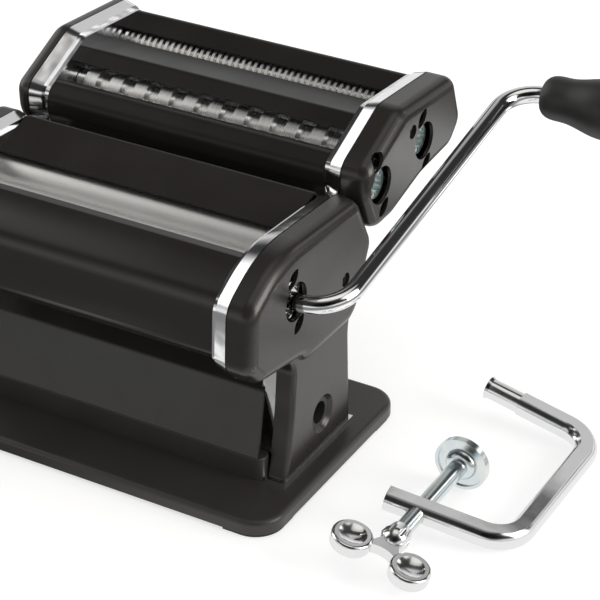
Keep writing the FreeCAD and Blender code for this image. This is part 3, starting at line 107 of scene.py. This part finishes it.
def satin_black(name, colour, smooth, dull, grain_mm, grain_depth_mm, shine=1.5):
    """Black enamel or plastic: a fine even grain, and patches a little smoother or duller."""
    material, shader, add, link = new_material(name)
    place = add("ShaderNodeTexCoord").outputs["Object"]
    patches = mottle(add, place, scale=28.0, detail=3.0)
    vary_dullness(add, link, patches, low=0.3, high=0.7, smooth=smooth, dull=dull)
    vary_shade(add, link, patches, colour, darkest=0.85, lightest=1.15)
    grain = mottle(add, place, scale=1000.0 / grain_mm, detail=2.0)
    link(relief(add, grain, grain_depth_mm), "Normal")
    shader.inputs["IOR"].default_value = shine
    return material


def turned_metal(name, colour, smooth, dull, line_mm, line_depth_mm):
    """Metal turned on a lathe: fine rings round the X axis, and soft patches of wear."""
    material, shader, add, link = new_material(name)
    place = add("ShaderNodeTexCoord").outputs["Object"]
    along_x_only = (1.0, 0.02, 0.02)
    ringed = add("ShaderNodeMapping", {"Vector": place, "Scale": along_x_only})
    rings = mottle(add, ringed.outputs["Vector"], scale=1000.0 / line_mm, detail=4.0, rough=0.7)
    patches = mottle(add, place, scale=45.0, detail=3.0)
    both = add("ShaderNodeMath", {0: rings, 1: patches}, operation="MULTIPLY").outputs["Value"]
    vary_dullness(add, link, both, low=0.12, high=0.4, smooth=smooth, dull=dull)
    vary_shade(add, link, rings, colour, darkest=0.93, lightest=1.07)
    link(relief(add, rings, line_depth_mm), "Normal")
    shader.inputs["Metallic"].default_value = 1.0
    return material


def coat_nodes(material, *names):
    """Give the named parts of the machine one finish."""
    for name in names:
        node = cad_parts[name]
        node.data.materials.clear()
        node.data.materials.append(material)


moulded_black = satin_black("moulded_black", base_black, smooth=0.34, dull=0.44,
                            grain_mm=0.7, grain_depth_mm=0.004)
rubbery_black = satin_black("rubbery_black", foot_black, smooth=0.62, dull=0.78,
                            grain_mm=0.5, grain_depth_mm=0.010)
turned_steel = turned_metal("turned_steel", screw_steel, smooth=0.24, dull=0.42,
                            line_mm=0.25, line_depth_mm=0.004)
coat_nodes(moulded_black, "base_plate")
coat_nodes(rubbery_black, "base_feet")
coat_nodes(turned_steel, "base_screws")

# SIDE FRAMES
# Each side is one pressing of bright chromed steel: a flat web, a step near its edge and a flared
# rim that shows as the bright strip round the black covers. Pressing leaves it very slightly wavy.
chrome_grey = (0.83, 0.83, 0.84)


def chromed_steel(name, colour, smooth, dull, wave_mm, wave_depth_mm, speckle_depth_mm):
    """Chrome plating over pressed or drawn steel: long shallow waves and very fine speckle."""
    material, shader, add, link = new_material(name)
    place = add("ShaderNodeTexCoord").outputs["Object"]
    haze = mottle(add, place, scale=60.0, detail=4.0)
    vary_dullness(add, link, haze, low=0.35, high=0.75, smooth=smooth, dull=dull)
    shader.inputs["Base Color"].default_value = (*colour, 1.0)
    shader.inputs["Metallic"].default_value = 1.0
    waves = mottle(add, place, scale=1000.0 / wave_mm, detail=1.0)
    speckle = mottle(add, place, scale=1700.0, detail=2.0)
    wavy = relief(add, waves, wave_depth_mm)
    link(relief(add, speckle, speckle_depth_mm, Normal=wavy), "Normal")
    return material


pressed_chrome = chromed_steel("pressed_chrome", chrome_grey, smooth=0.10, dull=0.18,
                               wave_mm=10.0, wave_depth_mm=0.20, speckle_depth_mm=0.0006)
coat_nodes(pressed_chrome, "side_frame_left", "side_frame_right")

# TIE RODS AND SCRAPERS
# Four turned steel rods with nuts hold the frames apart. Two of them carry the plastic scrapers
# that keep dough off the rollers.
scraper_black = (0.016, 0.016, 0.016)
hard_plastic = satin_black("hard_plastic", scraper_black, smooth=0.38, dull=0.55,
                           grain_mm=0.4, grain_depth_mm=0.003)
coat_nodes(turned_steel, "tie_rods")
coat_nodes(hard_plastic, "roller_scrapers")

# PANELS AND CHUTE
# Bent steel sheets between the frames, enamelled satin black: the curved front with its lip, the
# back wall behind the dough, and the chute over the rollers.
enamel_colour = (0.0125, 0.0104, 0.0088)
black_enamel = satin_black("black_enamel", enamel_colour, smooth=0.23, dull=0.29,
                           grain_mm=1.4, grain_depth_mm=0.003)
coat_nodes(black_enamel, "front_panel", "rear_panel", "dough_chute")

# DOUGH ROLLERS
# Two solid rollers of anodised aluminium, turned to a fine satin finish. The front one is driven by
# the crank, and steel gears join it to the rear one. The frames hold them in plain plastic bushes.
roller_grey = (0.84, 0.835, 0.82)
satin_alloy = turned_metal("satin_alloy", roller_grey, smooth=0.34, dull=0.44,
                           line_mm=0.22, line_depth_mm=0.0015)
coat_nodes(satin_alloy, "front_roller", "rear_roller")
coat_nodes(turned_steel, "front_roller_gear", "rear_roller_gear")
coat_nodes(hard_plastic, "roller_bushes")

# THICKNESS ADJUSTER
# Eccentric rings with toothed sectors carry the rear roller's sleeves. A shaft in plastic bushes
# has two pinions, which turn both rings together. All but the bushes are turned steel.
coat_nodes(turned_steel, "eccentric_rings", "roller_sleeves", "regulator_shaft",
           "regulator_pinions")
coat_nodes(hard_plastic, "regulator_bushes")

# SIDE COVERS
# Pressed steel covers over the gears, with thick rounded edges, enamelled satin black. A bracket
# behind each takes its single cross headed screw, which is blackened.
cover_colour = (0.0160, 0.0138, 0.0118)
blackened_grey = (0.10, 0.10, 0.10)
cover_black = satin_black("cover_black", cover_colour, smooth=0.24, dull=0.30,
                          grain_mm=1.6, grain_depth_mm=0.003)
blackened_steel = turned_metal("blackened_steel", blackened_grey, smooth=0.22, dull=0.4,
                               line_mm=0.3, line_depth_mm=0.004)
coat_nodes(cover_black, "side_cover_left", "side_cover_right")
coat_nodes(turned_steel, "cover_bracket_left", "cover_bracket_right")
coat_nodes(blackened_steel, "cover_screws")

# CLAMP SOCKETS AND CUTTER GUIDES
# The plastic sleeves low in the columns take the clamp's end. The chromed blades behind the head
# are what the cutter head's hooks slide down on.
coat_nodes(hard_plastic, "clamp_sockets")
coat_nodes(pressed_chrome, "cutter_guides")

# DIAL AND KNOB
# The knob is moulded plastic with a fluted rim. Ten numbers and ticks are printed in white on its
# face, and a black mark on the silver plate behind it shows which one is set.
knob_low, knob_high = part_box("adjuster_knob")
knob_face_x = knob_low.x
knob_y = (knob_low.y + knob_high.y) / 2
knob_z = (knob_low.z + knob_high.z) / 2
plate_face_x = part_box("dial_plate")[0].x
setting_count = 10
setting_step_deg = 360.0 / setting_count
mark_deg = 90.0
print_lift = 0.00001
print_thickness = 0.00006
number_height = 0.0034
number_ring_r = 0.0092
tick_ring_r = 0.0123
tick_length = 0.0016
tick_width = 0.0005
mark_ring_r = 0.0178
mark_half_width = 0.0011
mark_base = 0.0012
mark_tip = -0.0014
plate_silver = (0.62, 0.62, 0.61)
knob_colour = (0.018, 0.018, 0.018)
ink_white = (0.80, 0.80, 0.78)
ink_thin_white = (0.62, 0.62, 0.60)
ink_black = (0.012, 0.012, 0.012)

silver_plate = turned_metal("silver_plate", plate_silver, smooth=0.3, dull=0.45,
                            line_mm=0.3, line_depth_mm=0.002)
knob_black = satin_black("knob_black", knob_colour, smooth=0.34, dull=0.48,
                         grain_mm=0.6, grain_depth_mm=0.004)
black_ink = satin_black("black_ink", ink_black, smooth=0.4, dull=0.5,
                        grain_mm=0.4, grain_depth_mm=0.001)
coat_nodes(silver_plate, "dial_plate")
coat_nodes(knob_black, "adjuster_knob")


def tint(add, link, pattern, low, low_colour, high, high_colour):
    """A colour that goes from one tone to another as a pattern goes from low to high."""
    ramp = add("ShaderNodeValToRGB", {"Fac": pattern})
    first, last = ramp.color_ramp.elements
    first.position = low
    first.color = (*low_colour, 1.0)
    last.position = high
    last.color = (*high_colour, 1.0)
    link(ramp.outputs["Color"], "Base Color")


def printed_ink(name, thin_colour, full_colour, dullness):
    """Printed ink, which lies thinner in tiny flecks."""
    material, shader, add, link = new_material(name)
    place = add("ShaderNodeTexCoord").outputs["Object"]
    flecks = mottle(add, place, scale=2200.0, detail=2.0)
    tint(add, link, flecks, low=0.0, low_colour=thin_colour, high=1.0, high_colour=full_colour)
    shader.inputs["Roughness"].default_value = dullness
    return material


def on_dial(x, radius, angle_deg):
    """Placement on a face that looks to -X: at a radius and an angle round the knob's axis, with
    local Y pointing away from that axis."""
    angle = math.radians(angle_deg)
    outwards = Vector((0.0, math.cos(angle), math.sin(angle)))
    normal = Vector((-1.0, 0.0, 0.0))
    turn = Matrix((outwards.cross(normal), outwards, normal)).transposed().to_4x4()
    y = knob_y + radius * math.cos(angle)
    z = knob_z + radius * math.sin(angle)
    return Matrix.Translation((x, y, z)) @ turn


def made_mesh(source):
    """The plain mesh that an object makes. The object itself goes, with its modifiers."""
    bpy.context.scene.collection.objects.link(source)
    bpy.context.view_layer.update()
    evaluated = source.evaluated_get(bpy.context.evaluated_depsgraph_get())
    mesh = bpy.data.meshes.new_from_object(evaluated)
    bpy.data.objects.remove(source)
    return mesh


def mesh_of(shape):
    """The plain mesh of an edited shape, which is let go."""
    mesh = bpy.data.meshes.new("shape")
    shape.to_mesh(mesh)
    shape.free()
    return mesh


def finished_piece(name, mesh, material, body):
    """A piece in one material, with its place in its mesh, that rides on one body."""
    mesh.name = name
    mesh.materials.clear()
    mesh.materials.append(material)
    piece = bpy.data.objects.new(name, mesh)
    bpy.context.scene.collection.objects.link(piece)
    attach(piece, body)


def ring_of_bars(material):
    """A node tree that lays flat bars in a ring, each pointing away from its middle."""
    tree = bpy.data.node_groups.new("ring_of_bars", "GeometryNodeTree")
    tree.is_modifier = True
    sockets = tree.interface
    sockets.new_socket("Geometry", in_out="OUTPUT", socket_type="NodeSocketGeometry")
    sockets.new_socket("Count", in_out="INPUT", socket_type="NodeSocketInt")
    for size in ("Radius", "Length", "Width", "Height"):
        sockets.new_socket(size, in_out="INPUT", socket_type="NodeSocketFloat")
    add = node_adder(tree)
    given = add("NodeGroupInput").outputs
    ring = add("GeometryNodeMeshCircle", {"Vertices": given["Count"], "Radius": given["Radius"]})
    bar_size = add("ShaderNodeCombineXYZ", {"X": given["Length"], "Y": given["Width"],
                                            "Z": given["Height"]})
    bar = add("GeometryNodeMeshCube", {"Size": bar_size.outputs["Vector"]})
    spot = add("GeometryNodeInputPosition")
    outwards = add("FunctionNodeAlignRotationToVector", {"Vector": spot.outputs["Position"]},
                   axis="X")
    bars = add("GeometryNodeInstanceOnPoints", {"Points": ring.outputs["Mesh"],
                                                "Instance": bar.outputs["Mesh"],
                                                "Rotation": outwards.outputs["Rotation"]})
    real = add("GeometryNodeRealizeInstances", {"Geometry": bars.outputs["Instances"]})
    coated = add("GeometryNodeSetMaterial", {"Geometry": real.outputs["Geometry"],
                                             "Material": material})
    add("NodeGroupOutput", {"Geometry": coated.outputs["Geometry"]})
    return tree


white_print = printed_ink("white_print", ink_thin_white, ink_white, dullness=0.55)

numbers = bmesh.new()
for setting in range(setting_count):
    angle_deg = mark_deg + setting * setting_step_deg
    text = bpy.data.curves.new("number", "FONT")
    text.body = str(setting)
    text.size = number_height
    text.extrude = print_thickness / 2
    text.align_x = "CENTER"
    text.align_y = "CENTER"
    number = made_mesh(bpy.data.objects.new("number", text))
    number.transform(on_dial(knob_face_x - print_lift, number_ring_r, angle_deg))
    numbers.from_mesh(number)
finished_piece("knob_numbers", mesh_of(numbers), white_print, "knob")

tick_sizes = {"Count": setting_count, "Radius": tick_ring_r, "Length": tick_length,
              "Width": tick_width, "Height": print_thickness}
tick_source = bpy.data.objects.new("ticks", bpy.data.meshes.new("ticks"))
grow = tick_source.modifiers.new("grow", "NODES")
grow.node_group = ring_of_bars(white_print)
for socket in grow.node_group.interface.items_tree:
    if socket.in_out == "INPUT":
        grow[socket.identifier] = tick_sizes[socket.name]
ticks = made_mesh(tick_source)
ticks.transform(on_dial(knob_face_x - print_lift, 0.0, mark_deg))
finished_piece("knob_ticks", ticks, white_print, "knob")

# The mark is a small triangle with its tip towards the knob.
mark = bmesh.new()
mark_outline = [(-mark_half_width, mark_base), (mark_half_width, mark_base), (0.0, mark_tip)]
for depth in (0.0, print_thickness):
    for across, along in mark_outline:
        mark.verts.new((across, along, depth))
mark.verts.ensure_lookup_table()
mark.faces.new([mark.verts[i] for i in (2, 1, 0)])
mark.faces.new([mark.verts[i] for i in (3, 4, 5)])
for i in range(3):
    j = (i + 1) % 3
    mark.faces.new([mark.verts[k] for k in (i, j, j + 3, i + 3)])
bmesh.ops.recalc_face_normals(mark, faces=mark.faces)
mark.transform(on_dial(plate_face_x, mark_ring_r, mark_deg))
finished_piece("dial_mark", mesh_of(mark), black_ink, "machine")

# CRANK
# A bent rod of chromed steel with a cross pin near its end, which drops into the slot of the
# scalloped collar on the front roller. The grip is moulded plastic and turns on the rod.
grip_colour = (0.013, 0.0126, 0.0120)
drawn_chrome = chromed_steel("drawn_chrome", chrome_grey, smooth=0.05, dull=0.11,
                             wave_mm=25.0, wave_depth_mm=0.05, speckle_depth_mm=0.0008)
grip_black = satin_black("grip_black", grip_colour, smooth=0.42, dull=0.56,
                         grain_mm=0.5, grain_depth_mm=0.012)
coat_nodes(drawn_chrome, "crank_rod", "crank_pin", "crank_socket")
coat_nodes(grip_black, "crank_grip")

# CUTTER HEAD
# Chromed side frames and enamelled covers like the machine's own, with enamelled strips between
# them. The hooks at its front slide down over the machine's two guide blades.
strip_colour = (0.0115, 0.0104, 0.0096)
strip_enamel = satin_black("strip_enamel", strip_colour, smooth=0.28, dull=0.36,
                           grain_mm=1.4, grain_depth_mm=0.003, shine=1.27)
coat_nodes(pressed_chrome, "cutter_frame_left", "cutter_frame_right", "cutter_hooks")
coat_nodes(cover_black, "cutter_cover_left", "cutter_cover_right")
coat_nodes(strip_enamel, "cutter_front_strip", "cutter_middle_strip", "cutter_rear_strip")
coat_nodes(turned_steel, "cutter_posts", "cutter_tie_rods")
coat_nodes(blackened_steel, "cutter_screws")
coat_nodes(hard_plastic, "cutter_bushes", "cutter_combs")

# CUTTER ROLLERS
# Two pairs of grooved aluminium rollers, one for wide and one for fine ribbons, with steel gears.
# Each pair has a star shaped socket of zinc plated steel that the crank's end and pin fit.
cutter_grey = (0.84, 0.84, 0.83)
socket_blue = (0.80, 0.92, 0.93)
socket_straw = (0.90, 0.95, 0.93)


def zinc_plate(name, smooth, dull, blue, straw):
    """Bright zinc plating: bluish grey with faint straw patches and a fine crystal grain."""
    material, shader, add, link = new_material(name)
    place = add("ShaderNodeTexCoord").outputs["Object"]
    patches = mottle(add, place, scale=110.0, detail=2.0)
    tint(add, link, patches, low=0.35, low_colour=blue, high=0.68, high_colour=straw)
    crystals = add("ShaderNodeTexVoronoi", {"Vector": place, "Scale": 1400.0}).outputs["Distance"]
    vary_dullness(add, link, crystals, low=0.0, high=0.7, smooth=smooth, dull=dull)
    shader.inputs["Metallic"].default_value = 1.0
    return material


cutter_alloy = turned_metal("cutter_alloy", cutter_grey, smooth=0.22, dull=0.36,
                            line_mm=0.2, line_depth_mm=0.002)
socket_zinc = zinc_plate("socket_zinc", smooth=0.26, dull=0.34, blue=socket_blue,
                         straw=socket_straw)
coat_nodes(cutter_alloy, "wide_cutter_front", "wide_cutter_rear", "fine_cutter_front",
           "fine_cutter_rear")
coat_nodes(turned_steel, "wide_gear_front", "wide_gear_rear", "fine_gear_front", "fine_gear_rear")
coat_nodes(socket_zinc, "wide_drive_socket", "fine_drive_socket")

# CLAMP
# A bent bar of chromed steel whose upper end fits the column's socket. A zinc plated screw runs
# through its lower arm, with a swivelling pad at one end and a cast wing at the other.
bar_grey = (0.80, 0.80, 0.80)
zinc_blue = (0.66, 0.73, 0.76)
zinc_straw = (0.78, 0.80, 0.77)
forged_chrome = chromed_steel("forged_chrome", bar_grey, smooth=0.10, dull=0.22,
                              wave_mm=9.0, wave_depth_mm=0.05, speckle_depth_mm=0.0025)
zinc = zinc_plate("zinc", smooth=0.18, dull=0.23, blue=zinc_blue, straw=zinc_straw)
coat_nodes(forged_chrome, "clamp_bar", "clamp_wing")
coat_nodes(zinc, "clamp_screw", "clamp_pad")

# TABLE, LIGHT AND CAMERA
# The machine stands on a white table in a white room, under a warm lamp at its right and two weak
# ones. What the chrome and enamel mirror is a mostly dark room with a few soft bright patches, and
# a table that is bright only round the crank and in two small spots.
floor_half = 6.0
floor_drop = 0.0003
floor_corners = [(-floor_half, -floor_half, 0), (floor_half, -floor_half, 0),
                 (floor_half, floor_half, 0), (-floor_half, floor_half, 0)]
floor_mesh = bpy.data.meshes.new("table")
floor_mesh.from_pydata(floor_corners, [], [(0, 1, 2, 3)])
floor = bpy.data.objects.new("table", floor_mesh)
floor.location.z = -floor_drop
bpy.context.scene.collection.objects.link(floor)


def eased(add, value, start, end, first, last):
    """A level that goes softly from first to last as a value goes from start to end."""
    level = add("ShaderNodeMapRange", {"Value": value, "From Min": start, "From Max": end,
                                       "To Min": first, "To Max": last},
                interpolation_type="SMOOTHSTEP")
    return level.outputs["Result"]


def worked_out(add, operation, a, b):
    """The result of one sum on two levels."""
    return add("ShaderNodeMath", {0: a, 1: b}, operation=operation).outputs["Value"]


def for_rays(add, these_rays, others, these):
    """One level for the rays named, and another for all others."""
    return add("ShaderNodeMix", {"Factor": these_rays, 2: others, 3: these}).outputs[0]


# The table as the camera sees it: its own glow, and how much light it catches. Mirrored in the
# machine, it catches less. As it lights the machine from below, it is a plain white.
white = (1, 1, 1, 1)
table_glow = 0.62
table_catch = 0.45
mirrored_catch = 0.12
table_white = (0.75, 0.75, 0.75, 1)

# Round bright places on the mirrored table: X and Y of the middle, the two distances from it
# between which the light fades, and how bright it is inside and outside. The first lies round the
# crank, and the others are added to it.
round_crank = (0.17, 0.02, 0.12, 0.23, 0.88, 0.12)
table_spots = [
    (0.208, 0.290, 0.035, 0.070, 1.7, 0.0),
    (-0.055, -0.125, 0.015, 0.05, 1.0, 0.0),
]

white_table = bpy.data.materials.new("white_table")
white_table.use_nodes = True
white_table.node_tree.nodes.clear()
table_add = node_adder(white_table.node_tree)
rays = table_add("ShaderNodeLightPath").outputs
place = table_add("ShaderNodeTexCoord").outputs["Object"]


def table_spot(x, y, near, wide, inside, outside):
    """Light round one point of the table, with a soft edge."""
    away = table_add("ShaderNodeVectorMath", {0: place, 1: (x, y, 0.0)}, operation="DISTANCE")
    return eased(table_add, away.outputs["Value"], near, wide, inside, outside)


mirrored_glow = table_spot(*round_crank)
for table_light in table_spots:
    mirrored_glow = worked_out(table_add, "ADD", mirrored_glow, table_spot(*table_light))
glow_strength = for_rays(table_add, rays["Is Camera Ray"], mirrored_glow, table_glow)
catch_colour = for_rays(table_add, rays["Is Camera Ray"], mirrored_catch, table_catch)
glow = table_add("ShaderNodeEmission", {"Color": white, "Strength": glow_strength})
caught = table_add("ShaderNodeBsdfDiffuse", {"Color": catch_colour})
shown = table_add("ShaderNodeAddShader", {0: glow.outputs["Emission"], 1: caught.outputs["BSDF"]})
plain = table_add("ShaderNodeBsdfDiffuse", {"Color": table_white})
seen = worked_out(table_add, "MAXIMUM", rays["Is Camera Ray"], rays["Is Glossy Ray"])
surface = table_add("ShaderNodeMixShader", {0: seen, 1: plain.outputs["BSDF"],
                                            2: shown.outputs["Shader"]})
table_add("ShaderNodeOutputMaterial", {"Surface": surface.outputs["Shader"]})
floor_mesh.materials.append(white_table)

# The room lights the machine evenly. Mirrored, it is bright at the horizon and dark overhead, and
# fades between these two heights, where 1 is straight up.
room_light = 0.86
horizon_low = 0.10
horizon_high = 0.36
horizon_glow = 0.95
overhead_glow = 0.03

# Round patches of light in the mirrored room: direction, the two angles from it in degrees between
# which the light fades, and how bright it is.
room_patches = [
    ((-0.95, 0.0, 0.5), 16, 34, 1.5),
    ((0.1, -0.1, 1.0), 10, 28, 0.35),
    ((0.85, 0.1, 0.8), 8, 22, 1.6),
    ((-0.25, 0.82, 0.50), 14, 27, 0.62),
    ((0.5, 0.75, 0.42), 4, 10, 2.0),
    ((-0.43, -0.85, 0.32), 6, 14, 0.5),
]

# A round patch in front of the machine, given in the same way, where the mirrored room loses that
# share of its light.
dark_patch = ((0.45, -0.75, 0.45), 12, 32, 0.92)

room = bpy.data.worlds.new("studio")
bpy.context.scene.world = room
room.use_nodes = True
room.node_tree.nodes.clear()
room_add = node_adder(room.node_tree)
rays = room_add("ShaderNodeLightPath").outputs
way = room_add("ShaderNodeTexCoord").outputs["Generated"]


def soft_patch(direction, near_deg, far_deg, strength):
    """A round patch of the room around one direction, with a soft edge."""
    middle = tuple(Vector(direction).normalized())
    cosine = room_add("ShaderNodeVectorMath", {0: way, 1: middle}, operation="DOT_PRODUCT")
    far = math.cos(math.radians(far_deg))
    near = math.cos(math.radians(near_deg))
    return eased(room_add, cosine.outputs["Value"], far, near, 0.0, strength)


height = room_add("ShaderNodeSeparateXYZ", {"Vector": way}).outputs["Z"]
mirrored_room = eased(room_add, height, horizon_low, horizon_high, horizon_glow, overhead_glow)
for patch in room_patches:
    mirrored_room = worked_out(room_add, "ADD", mirrored_room, soft_patch(*patch))
left_over = worked_out(room_add, "SUBTRACT", 1.0, soft_patch(*dark_patch))
mirrored_room = worked_out(room_add, "MULTIPLY", mirrored_room, left_over)
strength = for_rays(room_add, rays["Is Glossy Ray"], room_light, mirrored_room)
strength = for_rays(room_add, rays["Is Camera Ray"], strength, 1.0)
sky = room_add("ShaderNodeBackground", {"Color": white, "Strength": strength})
room_add("ShaderNodeOutputWorld", {"Surface": sky.outputs["Background"]})

# Square lamps: place, the point that each is aimed at, width and watts.
lamps = {
    "left_lamp": ((-1.1, -0.5, 1.1), (0.0, 0.0, 0.05), 1.0, 1.8),
    "top_lamp": ((0.25, 0.1, 1.5), (0.0, 0.0, 0.05), 0.9, 1.5),
    "right_lamp": ((1.3, 0.2, 0.5), (0.0, 0.0, 0.08), 0.7, 11.0),
}
lamp_colour = (1.0, 0.96, 0.90)
for name, (spot, aim, width, watts) in lamps.items():
    lamp = bpy.data.lights.new(name, "AREA")
    lamp.shape = "SQUARE"
    lamp.size = width
    lamp.energy = watts
    lamp.color = lamp_colour
    holder = bpy.data.objects.new(name, lamp)
    holder.location = spot
    holder.rotation_mode = "QUATERNION"
    holder.rotation_quaternion = (Vector(aim) - Vector(spot)).to_track_quat("-Z", "Y")
    bpy.context.scene.collection.objects.link(holder)

camera_place = (0.5016, -0.7320, 0.5875)
camera_azimuth = math.radians(29.73)
camera_elevation = math.radians(30.87)
camera_level = math.cos(camera_elevation)
camera_back = Vector((math.sin(camera_azimuth) * camera_level,
                      -math.cos(camera_azimuth) * camera_level, math.sin(camera_elevation)))
camera_data = bpy.data.cameras.new("camera")
camera_data.lens = 137.46
camera_data.sensor_width = 36.0
camera_data.clip_start = 0.05
camera_data.clip_end = 50.0
camera = bpy.data.objects.new("camera", camera_data)
camera.location = camera_place
camera.rotation_mode = "QUATERNION"
camera.rotation_quaternion = (-camera_back).to_track_quat("-Z", "Y")
bpy.context.scene.collection.objects.link(camera)
bpy.context.scene.camera = camera
bpy.context.scene.view_settings.view_transform = "Standard"
